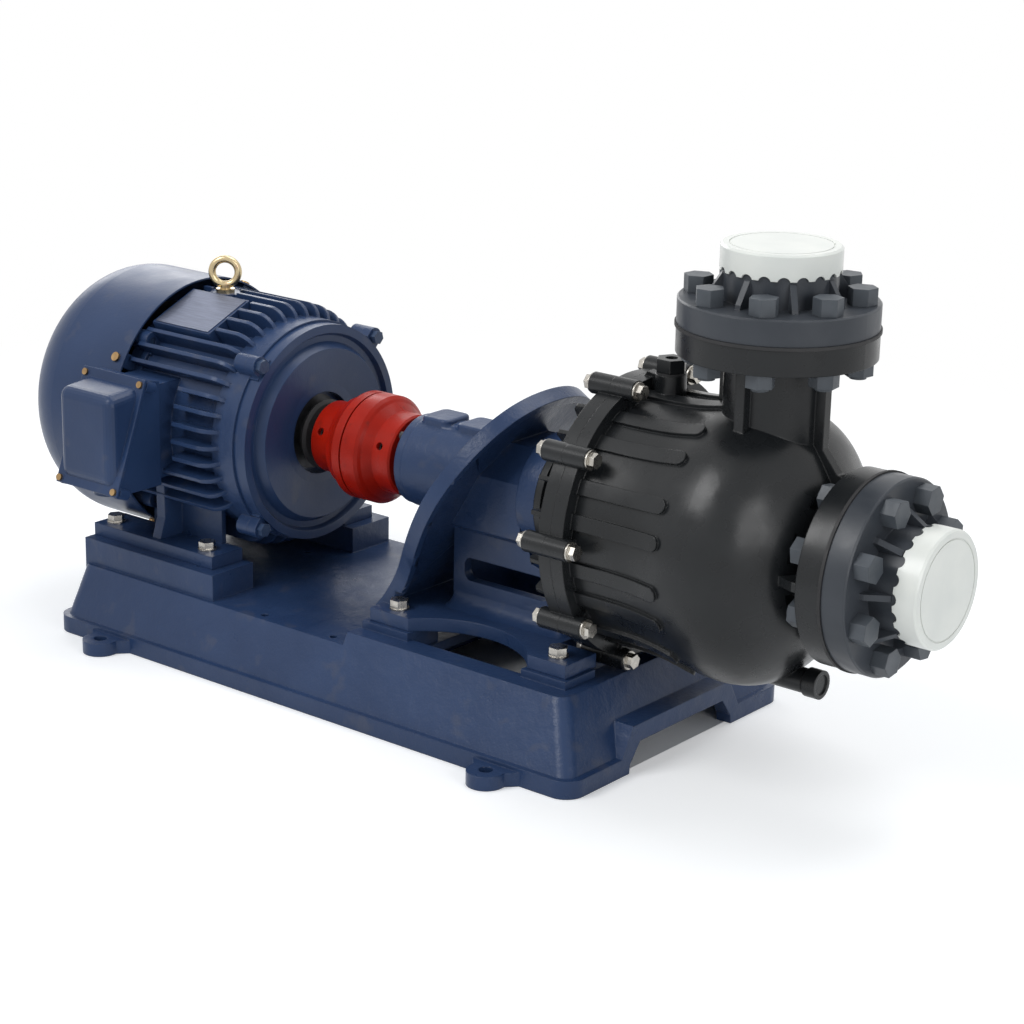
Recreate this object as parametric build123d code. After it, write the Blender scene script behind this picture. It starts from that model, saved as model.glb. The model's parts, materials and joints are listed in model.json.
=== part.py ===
from build123d import *
import math
import os

os.makedirs("parts", exist_ok=True)

# A horizontal self-priming chemical pump, long-coupled to a foot-mounted motor on a cast base.
# Millimetres. +X runs along the shaft from the motor to the suction port, +Z is up.
# The origin is on the floor at the centre of the four anchor holes. The near side is -Y.

# Shaft line and base
shaft_height = 228.0
base_length = 706.0
base_width = 356.0
base_wall = 10.0
rim_height = 18.0
rim_ledge = 7.0
deck_height = 68.0
rail_height = 80.0
rail_width = 26.0
rail_start = 37.0
wall_inset = 35.0
base_corner = 14.0
anchor_spacing_x = 530.0
anchor_spacing_y = 386.0
anchor_hole_radius = 7.0
lug_radius = 19.0
lug_thickness = 14.0
lug_flare = 13.0
notch_width = 170.0
notch_height = 29.0
notch_corner = 20.0
notch_border = 18.0
jacking_hole_radius = 4.0
jacking_hole_positions = (-82.0, 14.0)
jacking_hole_y = 131.5
base_rib_positions = (-120.0, 30.0)

# Motor seat and feet
pad_height = 96.0
pad_inner = 78.0
pad_outer = 138.0
pad_end = -151.0
motor_centre = -258.8
motor_foot_pitch_x = 140.0
motor_foot_pitch_y = 216.0
motor_foot_length = 180.0
motor_foot_offset = 4.0
motor_foot_half_width = 125.0
motor_foot_thickness = 14.0
motor_foot_inner = 80.0
foot_rib_thickness = 12.0
foot_bolt_radius = 5.0
foot_bolt_flats = 16.0
foot_bolt_head = 7.0
foot_bolt_depth = 22.0
washer_thickness = 2.0

# Motor frame, shields and cowl
frame_bore_radius = 105.0
frame_skin_radius = 114.0
band_radius = 118.0
band_length = 30.0
fin_radius = 132.0
fin_thickness = 4.5
fin_count = 44
frame_rear = -300.0
frame_front = -140.0
shield_radius = 115.5
shield_front = -124.6
shield_rim_width = 9.0
shield_recess = 5.0
dish_radius = 91.0
dish_front = -119.0
lug_circle = 124.0
ear_radius = 10.0
shield_bolt_radius = 4.0
shield_bolt_flats = 13.0
shield_bolt_head = 6.0
cowl_radius = 140.0
cowl_thickness = 2.0
cowl_front = -296.0
cowl_rear = -450.0
cowl_dome = 58.0
cowl_face_radius = 92.0
grille_slot_width = 6.0
grille_rings = (32.0, 46.0, 60.0, 74.0)
cowl_screw_angle = 45.0
cowl_screw_x = -308.0
nameplate_length = 78.0
nameplate_width = 62.0
nameplate_thickness = 1.0
nameplate_angle = 23.0
nameplate_centre = -251.0
plate_pad_radius = 130.0
eyebolt_x = -265.0
eye_ring_radius = 14.0
eye_wire_radius = 4.0
eye_centre_height = 380.0
eye_collar_radius = 10.0
eye_turn = 38.0
eye_boss_radius = 16.0

# Terminal box
box_start = -318.0
box_end = -226.0
box_back = 133.0
box_top_depth = 153.0
box_front_depth = 197.0
box_bottom = 178.0
box_top = 294.0
box_wall = 5.0
cover_front_depth = 201.0
cover_inset = 4.0
cover_corner = 5.0
screw_recess = 5.6
cover_hollow_inset = 12.0
cover_plate = 4.0
cable_hole_radius = 12.0
block_centre = -262.0
cowl_relief = 1.5

# Motor inner parts
stator_centre = -221.0
stator_length = 100.0
rotor_radius = 64.0
air_gap = 0.5
winding_length = 17.0
winding_radius = 94.0
motor_shaft_radius = 19.0
motor_seat_radius = 20.0
motor_core_radius = 24.0
bearing_outer = 40.0
bearing_width = 18.0
motor_bearing_front = -134.0
motor_bearing_rear = -312.0
fan_rear = -392.0
fan_length = 34.0
fan_radius = 112.0
fan_blades = 8
running_gap = 0.05

# Coupling
coupling_gap_x = -46.0
coupling_gap = 2.0
coupling_radius = 57.0
coupling_hub_motor = 38.0
coupling_hub_pump = 43.0
coupling_rear = -106.0
coupling_front = 8.0
jaw_depth = 16.0
jaw_count = 3
jaw_angle = 40.0
star_leg_angle = 19.0
star_leg_offset = (jaw_angle + star_leg_angle) / 2
set_screw_radius = 4.0

# Bearing bracket
bracket_seat_height = 88.0
bracket_foot_thickness = 14.0
bracket_foot_start = 46.0
bracket_foot_end = 294.0
bracket_foot_half_width = 112.0
bracket_bolt_x = (70.0, 272.0)
bracket_bolt_y = 95.0
bracket_bolt_radius = 5.0
bracket_bolt_flats = 17.0
bracket_bolt_head = 8.0
bracket_bolt_depth = 30.0
foot_arc_half_chord = 76.0
foot_arc_depth = 37.0
foot_arc_x = 172.0
foot_mouth = 252.0
arch_lean = 31.0
arch_foot_x = 50.0
arch_foot_half_width = 99.0
arch_rim = 16.0
arch_web = 9.0
arch_rim_width = 9.0
housing_start = 28.0
housing_radius = 48.0
housing_bore = 36.0
housing_body_half_width = 55.0
housing_body_bottom = 183.0
housing_body_top = 278.0
neck_start = 190.0
neck_end = 210.0
neck_radius = 60.0
pedestal_start = 100.0
pedestal_end = 240.0
pedestal_low_top = 164.0
pedestal_half_width = 47.0
pedestal_wall = 11.0
window_start = 114.0
window_end = 222.0
window_bottom = 131.0
window_top = 155.0
window_corner = 9.0
lump_spans = ((30.0, 66.0), (76.0, 134.0))
lump_half_width = 20.0
lump_height = 4.0
end_cover_start = 18.0

# Pump shaft line
pump_shaft_radius = 15.0
pump_bearing_outer = 36.0
pump_bearing_width = 19.0
pump_bearing_positions = (42.0, 150.0)
shaft_sleeve_radius = 18.0
sleeve_start = 196.0
impeller_back = 286.0
impeller_radius = 76.0
impeller_eye = 33.0
impeller_width = 30.0
impeller_shroud = 5.0
vane_count = 6
vane_thickness = 4.5
seal_face_x = 244.0

# Pump casing and rear cover
seam_x = 292.0
ring_radius = 138.0
ring_thickness = 14.0
clamp_circle = 140.0
clamp_count = 10
clamp_boss_radius = 10.5
clamp_boss_length = 25.0
clamp_bolt_radius = 4.0
clamp_bolt_flats = 13.0
clamp_bolt_head = 6.5
cover_fin_reach = 20.0
cover_fin_thickness = 4.0
cover_web = 8.0
casing_wall = 8.0
casing_neck_radius = 124.0
casing_bulge_radius = 134.0
casing_bulge_x = 432.0
casing_dome_end = 520.0
seal_groove_radius = 120.0
seal_groove_depth = 3.0
spot_face_radius = 14.5
suction_neck_radius = 50.0
rib_length = 104.0
rib_width = 15.0
rib_height = 3.5
rib_spread = 7.5
chamber_radius = 54.0
chamber_start = 440.0
port_radius = 38.0
suction_joint = 556.5
discharge_x = 440.0
discharge_joint = 437.5
discharge_neck_radius = 47.5
neck_rib_thickness = 10.0
neck_rib_reach = 10.0
port_gusset_thickness = 9.0

# Flanged sockets, for 80 mm pipe of 89 mm outside diameter
flange_radius = 92.5
flange_thickness = 24.0
bolt_circle = 75.0
bolt_count = 8
bolt_hole_radius = 9.5
bolt_radius = 7.9
bolt_flats = 24.0
bolt_head = 16.0
port_nut_height = 14.0
port_bolt_tail = 3.0
gasket_thickness = 3.0
gasket_lip = 1.5
hub_radius = 53.0
hub_length = 46.0
socket_radius = 44.65
socket_depth = 64.0
gusset_thickness = 6.0
gusset_reach = 15.0
gusset_length = 24.0
cap_radius = 55.5
cap_thickness = 4.0
cap_skirt = 20.0
cap_line_radius = 46.5
cap_line_width = 1.2
cap_line_depth = 0.8
cap_clearance = 0.3
scallop_count = 20
scallop_radius = 6.0

# Filler and drain plugs
filler_x = 324.0
filler_boss_radius = 15.0
filler_seat = 372.0
filler_flats = 26.0
filler_head = 13.0
plug_radius = 11.0
plug_length = 22.0
plug_ring_thickness = 2.0
plug_clearance = 0.05
drain_height = 106.0
drain_boss_radius = 12.0
drain_seat = 492.0
drain_cap_radius = 14.0
drain_cap = 14.0

# Suction flap
flap_radius = 43.0
flap_thickness = 4.0
flap_weight_radius = 21.0
flap_weight = 14.0
flap_pivot_offset = 6.0
flap_pivot_height = 46.0
flap_pin_radius = 3.0
flap_gap = 0.3

# Worked-out places
half_length = base_length / 2
half_width = base_width / 2
foot_top = pad_height + motor_foot_thickness
bracket_top = bracket_seat_height + bracket_foot_thickness
hub_tip = gasket_thickness / 2 + flange_thickness + hub_length
flange_front = gasket_thickness / 2 + flange_thickness
ring_back = seam_x - ring_thickness
cover_back = ring_back - cover_fin_reach


def block(x0, x1, y0, y1, z0, z1):
    """A box between two corners."""
    body = Box(abs(x1 - x0), abs(y1 - y0), abs(z1 - z0))
    return Pos((x0 + x1) / 2, (y0 + y1) / 2, (z0 + z1) / 2) * body


def rod(radius, x0, x1, y=0.0, z=shaft_height):
    """A cylinder along X."""
    return Pos((x0 + x1) / 2, y, z) * Rot(0, 90, 0) * Cylinder(radius, abs(x1 - x0))


def post(radius, z0, z1, x=0.0, y=0.0):
    """An upright cylinder."""
    return Pos(x, y, (z0 + z1) / 2) * Cylinder(radius, abs(z1 - z0))


def cross_pin(radius, y0, y1, x, z):
    """A cylinder along Y."""
    return Pos(x, (y0 + y1) / 2, z) * Rot(90, 0, 0) * Cylinder(radius, abs(y1 - y0))


def collar(outer, inner, x0, x1):
    """A ring about the shaft line."""
    return rod(outer, x0, x1) - rod(inner, x0 - 1, x1 + 1)


def section_plane():
    """The upright plane through the shaft line, with its local origin on that line."""
    return Plane(origin=(0, 0, shaft_height), x_dir=(1, 0, 0), z_dir=(0, -1, 0))


def turned(outline):
    """A body turned about the shaft line from a closed outline of (x, radius) points."""
    face = section_plane() * make_face(Polyline(*outline, close=True))
    return revolve(face, Axis((0, 0, shaft_height), (1, 0, 0)), 360)


def turned_upright(outline):
    """A body turned about +Z from a closed outline of (radius, z) points."""
    face = Plane.XZ * make_face(Polyline(*outline, close=True))
    return revolve(face, Axis.Z, 360)


def about_shaft(shape, angle):
    """A shape turned about the shaft line. Positive turns the top towards the near side."""
    return Pos(0, 0, shaft_height) * Rot(angle, 0, 0) * Pos(0, 0, -shaft_height) * shape


def hex_x(flats, x0, x1, y=0.0, z=shaft_height):
    """A hexagon bar along X."""
    outline = RegularPolygon(flats / 2, 6, major_radius=False)
    return Pos(x0, y, z) * Rot(0, 90, 0) * extrude(outline, x1 - x0)


def hex_z(flats, z0, z1, x=0.0, y=0.0):
    """An upright hexagon bar."""
    outline = RegularPolygon(flats / 2, 6, major_radius=False)
    return Pos(x, y, z0) * extrude(outline, z1 - z0)


def both_sides(shape):
    """A shape and its mirror image across the upright plane of the shaft."""
    return [shape, mirror(shape, about=Plane.XZ)]


def at_suction(shape):
    """Places a port piece, drawn along +Z from its joint face, on the suction port."""
    return Pos(suction_joint, 0, shaft_height) * Rot(0, 90, 0) * shape


def at_discharge(shape):
    """Places a port piece, drawn along +Z from its joint face, on the discharge port."""
    return Pos(discharge_x, 0, discharge_joint) * shape


def save(name, *shapes):
    """Writes one node. Each solid in it stays separate."""
    solids = []
    for shape in shapes:
        solids.extend(shape.solids())
    export_step(Compound(solids), f"parts/{name}.step")


# Base plate


def wall_half_width(height):
    """Half the width of the sloping base wall at a height."""
    slope = wall_inset / (rail_height - rim_height)
    return half_width - rim_ledge - slope * (height - rim_height)


def wall_end(height):
    """Where the sloping front end wall stands at a height."""
    slope = wall_inset / (rail_height - rim_height)
    return half_length - rim_ledge - slope * (height - rim_height)


def base_level(height, inset=0.0):
    """The outline of the base at a height, with its rear end wall upright."""
    rear = -half_length + rim_ledge + inset
    front = wall_end(height) - inset
    side = wall_half_width(height) - inset
    corner = max(base_corner - inset, 2.0)
    outline = Pos((rear + front) / 2, 0, height) * RectangleRounded(front - rear, 2 * side, corner)
    return outline


def notch_profile(extra):
    """The arched mouth in an end wall, grown by a border."""
    half = notch_width / 2 + extra
    top = notch_height + extra
    corner = notch_corner + extra
    slope = 0.35 * top
    return make_face(
        Polyline((-half, -1), (-half + 1, top - corner), (-half + slope + 6, top), (half - slope - 6, top),
                 (half - 1, top - corner), (half, -1), close=True))


def base_notches(extra, x_inner, x_outer):
    """The mouths of both end walls as bars along X."""
    bars = []
    for sign in (-1, 1):
        plane = Plane(origin=(sign * x_inner, 0, 0), x_dir=(0, sign, 0), z_dir=(sign, 0, 0))
        bars.append(extrude(plane * notch_profile(extra), x_outer - x_inner))
    return bars


def anchor_lug(sign_x, sign_y):
    """One foot of the base, which runs out of the rim in two flares to a round end."""
    x = sign_x * anchor_spacing_x / 2
    y = sign_y * anchor_spacing_y / 2
    rim = sign_y * (half_width - 4)
    reach = abs(y - rim)
    tab = block(x - lug_radius, x + lug_radius, min(y, rim), max(y, rim), 0, lug_thickness)
    root = lug_radius + lug_flare
    flare = make_face(
        Polyline((x - root, rim), (x - lug_radius, rim + sign_y * reach * 0.75),
                 (x + lug_radius, rim + sign_y * reach * 0.75), (x + root, rim), close=True))
    return tab + post(lug_radius, 0, lug_thickness, x, y) + extrude(flare, lug_thickness)


def make_baseplate():
    """The cast base: rim, sloping walls, motor pads, bracket rails and anchor feet."""
    rim = extrude(RectangleRounded(base_length, base_width, base_corner + rim_ledge), rim_height)
    walls = loft([base_level(rim_height), base_level(deck_height)])
    rail_zone = loft([base_level(rim_height), base_level(rail_height)])
    rail_zone &= block(rail_start, half_length, -half_width, half_width, rim_height, rail_height)
    body = rim + walls + rail_zone
    well_half_width = wall_half_width(rail_height) - rail_width
    well_end = wall_end(rail_height) - rail_width
    body -= block(rail_start - 1, well_end, -well_half_width, well_half_width, deck_height, rail_height + 1)
    for pad in both_sides(block(-half_length + rim_ledge, pad_end, -pad_outer, -pad_inner, rim_height + 20,
                                pad_height)):
        body += pad
    for x in bracket_bolt_x:
        seat_rear = x - 26 if x < foot_arc_x else foot_arc_x + foot_arc_half_chord
        seat_front = foot_arc_x - foot_arc_half_chord if x < foot_arc_x else x + 22
        for seat in both_sides(block(seat_rear - 4, seat_front + 4, -bracket_foot_half_width - 5, -70,
                                     deck_height - 10, bracket_seat_height)):
            body += seat
    for border in base_notches(notch_border, half_length - 45, half_length):
        body += border & block(-half_length, half_length, -half_width, half_width, 0, deck_height)
    for sign_x in (-1, 1):
        for sign_y in (-1, 1):
            body += anchor_lug(sign_x, sign_y)
    # The casting is hollow below, with cross ribs under the deck.
    hollow = loft([base_level(rim_height, base_wall), base_level(deck_height - base_wall, base_wall)])
    hollow += extrude(
        RectangleRounded(base_length - 2 * (rim_ledge + base_wall), base_width - 2 * (rim_ledge + base_wall), 6),
        rim_height + 0.01)
    for x in base_rib_positions:
        hollow -= block(x - base_wall / 2, x + base_wall / 2, -half_width, half_width, 14, deck_height)
    body -= hollow
    for mouth in base_notches(0, half_length - 60, half_length + 1):
        body -= mouth
    # Light shows through the deck beside the bracket foot.
    opening = block(foot_arc_x - foot_arc_half_chord + 8, foot_arc_x + foot_arc_half_chord - 8,
                    -bracket_foot_half_width - 3, bracket_foot_half_width + 3, 0, deck_height + 1)
    body -= opening
    for x in (-anchor_spacing_x / 2, anchor_spacing_x / 2):
        for y in (-anchor_spacing_y / 2, anchor_spacing_y / 2):
            body -= post(anchor_hole_radius, -1, lug_thickness + 1, x, y)
    for x in jacking_hole_positions:
        for y in (-jacking_hole_y, jacking_hole_y):
            body -= post(jacking_hole_radius, deck_height - base_wall - 1, deck_height + 1, x, y)
    for x in motor_bolt_places():
        for y in (-motor_foot_pitch_y / 2, motor_foot_pitch_y / 2):
            body -= post(foot_bolt_radius + running_gap, pad_height - foot_bolt_depth, pad_height + 1, x, y)
    for x in bracket_bolt_x:
        for y in (-bracket_bolt_y, bracket_bolt_y):
            depth = bracket_bolt_depth - bracket_foot_thickness
            body -= post(bracket_bolt_radius + running_gap, bracket_seat_height - depth - 2,
                         bracket_seat_height + 1, x, y)
    return body


def motor_bolt_places():
    """The two bolt stations of the motor feet along X."""
    return (motor_centre - motor_foot_pitch_x / 2, motor_centre + motor_foot_pitch_x / 2)


# Motor


def fin_angles():
    """Where a cooling fin stands: clear of the feet, the terminal box and the plate pad."""
    step = 360.0 / fin_count
    angles = []
    for index in range(fin_count):
        angle = index * step
        signed = angle if angle <= 180 else angle - 360
        under_foot = abs(signed) > 127 and abs(signed) < 152
        at_box = 62 < signed < 106
        at_plate = nameplate_angle - 17 < signed < nameplate_angle + 17
        at_eye = abs(signed) < 4
        angles.append((signed, under_foot, at_box, at_plate, at_eye))
    return angles


def cooling_fin(angle, x0, x1):
    """One fin along the frame, with its front end rounded down to the band."""
    root = frame_skin_radius - 3
    reach = fin_radius - root
    knee = (x1 - reach, fin_radius)
    middle = (x1 - reach * 0.293, fin_radius - reach * 0.293)
    edges = [Line((x0, root), (x0, fin_radius)), Line((x0, fin_radius), knee), ThreePointArc(knee, middle, (x1, root)),
             Line((x1, root), (x0, root))]
    fin = extrude(section_plane() * make_face(edges), fin_thickness / 2, both=True)
    return about_shaft(fin, angle)


def shield_lug(angle, x0, x1):
    """An ear for a shield bolt."""
    ear = block(x0, x1, -ear_radius - 3, ear_radius + 3, shaft_height + lug_circle - 18, shaft_height + lug_circle - 7)
    ear += block(x0, x1, -ear_radius, ear_radius, shaft_height + lug_circle - 10, shaft_height + lug_circle)
    ear += rod(ear_radius, x0, x1, 0, shaft_height + lug_circle)
    return about_shaft(ear, angle)


def make_motor_frame():
    """Cast frame with long fins, feet, terminal pad, plate pad and eyebolt boss."""
    frame = rod(frame_skin_radius, frame_rear, frame_front)
    frame += rod(band_radius, frame_front - band_length, frame_front)
    rear_band = rod(band_radius, frame_rear, frame_rear + 10)
    frame += rear_band
    bore = rod(frame_bore_radius, frame_rear - 60, frame_front + 10)
    frame -= bore
    fins = []
    for angle, under_foot, at_box, at_plate, at_eye in fin_angles():
        start = frame_rear + 4
        end = frame_front - band_length + 12
        if under_foot:
            continue
        if at_plate:
            fins.append(cooling_fin(angle, nameplate_centre + nameplate_length / 2 + 4, end))
            continue
        if at_box:
            fins.append(cooling_fin(angle, box_end + 10, end))
            continue
        fins.append(cooling_fin(angle, start, end))
    frame = frame.fuse(*[fin.solid() for fin in fins])
    # Feet: a plate each side, a middle rib and a wall up to the frame.
    foot_start = motor_centre + motor_foot_offset - motor_foot_length / 2
    foot_end = motor_centre + motor_foot_offset + motor_foot_length / 2
    middle = motor_centre + motor_foot_offset
    for plate in both_sides(block(foot_start, foot_end, -motor_foot_half_width, -motor_foot_inner, pad_height,
                                  foot_top)):
        frame += plate
    rib_plane = Plane(origin=(middle, 0, 0), x_dir=(0, -1, 0), z_dir=(-1, 0, 0))
    rib_outline = make_face(
        Polyline((motor_foot_inner, foot_top - 1), (motor_foot_half_width - 6, foot_top - 1),
                 (motor_foot_half_width - 14, 132), (112, 196), (motor_foot_inner - 12, 150), close=True))
    rib = extrude(rib_plane * rib_outline, foot_rib_thickness / 2, both=True)
    for piece in both_sides(rib):
        frame += piece - bore
    for wall in both_sides(block(cowl_front + 4, foot_end - 24, -motor_foot_inner - 6, -motor_foot_inner,
                                 foot_top - 1, 152)):
        frame += wall - bore
    # Terminal pad on the near side
    box_pad = block(cowl_front + 2, box_end - 8, -box_back, -80, box_bottom + 6, box_top - 8)
    box_pad -= block(block_centre - 16, block_centre + 16, -box_back - 1, -70, 222, 258)
    frame += box_pad - bore
    # Pad for the bare plate
    plate_pad = block(nameplate_centre - nameplate_length / 2 - 3, nameplate_centre + nameplate_length / 2 + 3,
                      -nameplate_width / 2 - 2, nameplate_width / 2 + 2, shaft_height + frame_skin_radius - 12,
                      shaft_height + plate_pad_radius)
    frame += about_shaft(plate_pad, nameplate_angle) - bore
    frame += post(eye_boss_radius, shaft_height + frame_skin_radius - 10, eye_seat_height(), eyebolt_x, 0) - bore
    for angle in (45, 135, 225, 315):
        frame += shield_lug(angle, frame_front - 16, frame_front) - bore
        frame += shield_lug(angle, frame_rear, frame_rear + 14) - bore
    for angle in (45, 135, 225, 315):
        hole = rod(shield_bolt_radius + running_gap, frame_front - 17, frame_front + 1, 0, shaft_height + lug_circle)
        frame -= about_shaft(hole, angle)
        hole = rod(shield_bolt_radius + running_gap, frame_rear - 1, frame_rear + 15, 0, shaft_height + lug_circle)
        frame -= about_shaft(hole, angle)
    for x in motor_bolt_places():
        for y in (-motor_foot_pitch_y / 2, motor_foot_pitch_y / 2):
            frame -= post(foot_bolt_radius + 1, pad_height - 1, foot_top + 1, x, y)
    frame -= post(eye_boss_radius + 3, eye_seat_height(), eye_seat_height() + 30, eyebolt_x, 0)
    frame -= post(4 + running_gap, eye_seat_height() - 14, eye_seat_height() + 1, eyebolt_x, 0)
    frame -= block(block_centre - 16, block_centre + 16, -box_back - 1, -70, 222, 258)
    return frame


def eye_seat_height():
    """Top of the eyebolt's boss."""
    return eye_centre_height - eye_ring_radius - eye_wire_radius - 4


def make_front_shield():
    """Drive-end shield: rim, recess, shallow dish and bearing seat."""
    rear = frame_front
    spigot = frame_front - 12
    bearing_rear = motor_bearing_front - bearing_width
    outline = [
        (spigot, frame_bore_radius - running_gap), (rear, frame_bore_radius - running_gap), (rear, shield_radius),
        (shield_front, shield_radius), (shield_front, shield_radius - shield_rim_width),
        (shield_front - shield_recess, shield_radius - shield_rim_width - 3),
        (shield_front - shield_recess, dish_radius + 6), (dish_front, dish_radius),
        (dish_front - 4, 54), (dish_front - 4, 44), (motor_bearing_front, 44),
        (motor_bearing_front, bearing_outer), (bearing_rear, bearing_outer), (bearing_rear, 50),
        (rear + 2, 54), (rear + 2, 96), (spigot, 98),
    ]
    shield = turned(outline)
    for angle in (45, 135, 225, 315):
        shield += shield_lug(angle, frame_front, frame_front + 12) - rod(shield_radius - 6, frame_front - 1,
                                                                         frame_front + 13)
    for angle in (45, 135, 225, 315):
        hole = rod(shield_bolt_radius + 0.5, frame_front - 1, frame_front + 14, 0, shaft_height + lug_circle)
        shield -= about_shaft(hole, angle)
    return shield


def make_rear_shield():
    """Fan-end shield with its bearing seat and four posts that carry the cowl."""
    front = frame_rear
    bearing_front = motor_bearing_rear + bearing_width
    outline = [
        (front + 10, frame_bore_radius - running_gap), (front, frame_bore_radius - running_gap),
        (front, band_radius), (front - 12, band_radius), (front - 12, 52), (motor_bearing_rear - 4, 52),
        (motor_bearing_rear - 4, 26), (motor_bearing_rear, 26), (motor_bearing_rear, bearing_outer),
        (bearing_front, bearing_outer), (bearing_front, 50), (front - 4, 54), (front - 4, 96), (front + 10, 98),
    ]
    shield = turned(outline)
    for angle in (45, 135, 225, 315):
        shield += shield_lug(angle, front - 12, front) - rod(band_radius - 6, front - 13, front + 1)
        post_body = block(cowl_screw_x - 9, front, -8, 8, shaft_height + band_radius - 6,
                          shaft_height + cowl_radius - cowl_thickness)
        post_body &= rod(cowl_radius - cowl_thickness, cowl_screw_x - 10, front)
        shield += about_shaft(post_body, angle + cowl_screw_angle - 45 + 14)
    for angle in (45, 135, 225, 315):
        hole = rod(shield_bolt_radius + 0.5, front - 13, front + 1, 0, shaft_height + lug_circle)
        shield -= about_shaft(hole, angle)
        screw = post(2.5 + running_gap, shaft_height + band_radius, shaft_height + cowl_radius, cowl_screw_x, 0)
        shield -= about_shaft(screw, angle + cowl_screw_angle - 45 + 14)
    return shield


def make_shield_bolts():
    """Hexagon bolts of both end shields."""
    bolts = []
    for angle in (45, 135, 225, 315):
        head_front = frame_front + 12
        bolt = hex_x(shield_bolt_flats, head_front, head_front + shield_bolt_head, 0, shaft_height + lug_circle)
        bolt += rod(shield_bolt_radius, frame_front - 14, head_front, 0, shaft_height + lug_circle)
        bolts.append(about_shaft(bolt, angle))
        head_rear = frame_rear - 12
        bolt = hex_x(shield_bolt_flats, head_rear - shield_bolt_head, head_rear, 0, shaft_height + lug_circle)
        bolt += rod(shield_bolt_radius, head_rear, frame_rear + 12, 0, shaft_height + lug_circle)
        bolts.append(about_shaft(bolt, angle))
    return bolts


def make_cowl():
    """Sheet cowl with a rounded rear edge and ring slots for the air."""
    t = cowl_thickness
    plane = section_plane()
    knee = (cowl_rear + cowl_dome, cowl_radius)
    middle = (cowl_rear + cowl_dome * 0.25, cowl_radius - 20)
    face = (cowl_rear, cowl_face_radius)
    outer = [Line((cowl_front, cowl_radius), knee), ThreePointArc(knee, middle, face), Line(face, (cowl_rear, 0))]
    knee_in = (knee[0], knee[1] - t)
    middle_in = (middle[0] + t * 0.7, middle[1] - t * 0.7)
    face_in = (cowl_rear + t, cowl_face_radius)
    inner = [Line((cowl_front, cowl_radius - t), knee_in), ThreePointArc(knee_in, middle_in, face_in),
             Line(face_in, (cowl_rear + t, 0))]
    ends = [Line((cowl_front, cowl_radius), (cowl_front, cowl_radius - t)), Line((cowl_rear, 0), (cowl_rear + t, 0))]
    cowl = revolve(plane * make_face(outer + inner + ends), Axis((0, 0, shaft_height), (1, 0, 0)), 360)
    half_slot = grille_slot_width / 2
    slots = []
    for radius in grille_rings:
        ring = collar(radius + half_slot, radius - half_slot, cowl_rear - 1, cowl_rear + t + 1)
        for quarter in range(4):
            bar = block(cowl_rear - 2, cowl_rear + t + 2, -4, 4, shaft_height, shaft_height + cowl_radius)
            ring -= about_shaft(bar, 45 + 90 * quarter)
        slots.extend(ring.solids())
    cowl = cowl.cut(*slots)
    for angle in (45, 135, 225, 315):
        screw = post(3, shaft_height + band_radius, shaft_height + cowl_radius + 5, cowl_screw_x, 0)
        cowl -= about_shaft(screw, angle + cowl_screw_angle - 45 + 14)
    return cowl


def make_cowl_screws():
    """Four pan-head screws that hold the cowl to the fan-end shield."""
    screws = []
    for angle in (45, 135, 225, 315):
        head = post(5, shaft_height + cowl_radius, shaft_height + cowl_radius + 3, cowl_screw_x, 0)
        head += post(2.5, shaft_height + band_radius + 4, shaft_height + cowl_radius, cowl_screw_x, 0)
        screws.append(about_shaft(head, angle + cowl_screw_angle - 45 + 14))
    return screws


def make_eyebolt():
    """Lifting eye with a collar and shank."""
    ring = Pos(0, 0, eye_centre_height) * Rot(90, 0, 0) * Torus(eye_ring_radius, eye_wire_radius)
    seat = eye_seat_height()
    stem = post(eye_wire_radius + 1.5, seat + 3, eye_centre_height - eye_ring_radius)
    eye = ring + stem + post(eye_collar_radius, seat, seat + 4) + post(4, seat - 13, seat)
    return Pos(eyebolt_x, 0, 0) * Rot(0, 0, eye_turn) * eye


def make_nameplate():
    """The bare plate on its pad."""
    low = shaft_height + plate_pad_radius
    plate = block(nameplate_centre - nameplate_length / 2, nameplate_centre + nameplate_length / 2,
                  -nameplate_width / 2, nameplate_width / 2, low, low + nameplate_thickness)
    return about_shaft(plate, nameplate_angle)


def box_outline(depth_top, depth_front, back):
    """Side view of the terminal box: upright back, level bottom and a sloping mouth."""
    return make_face(
        Polyline((-back, box_bottom), (-back, box_top - 4), (-depth_top, box_top), (-depth_front, box_bottom),
                 close=True))


def side_plane(x):
    """A plane across the shaft, with local X along +Y and local Y along +Z."""
    return Plane(origin=(x, 0, 0), x_dir=(0, 1, 0), z_dir=(1, 0, 0))


def mouth_direction():
    """Unit vector down the sloping mouth of the terminal box, in Y and Z."""
    dy = -(box_front_depth - box_top_depth)
    dz = box_bottom - box_top
    length = math.hypot(dy, dz)
    return dy / length, dz / length


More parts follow.
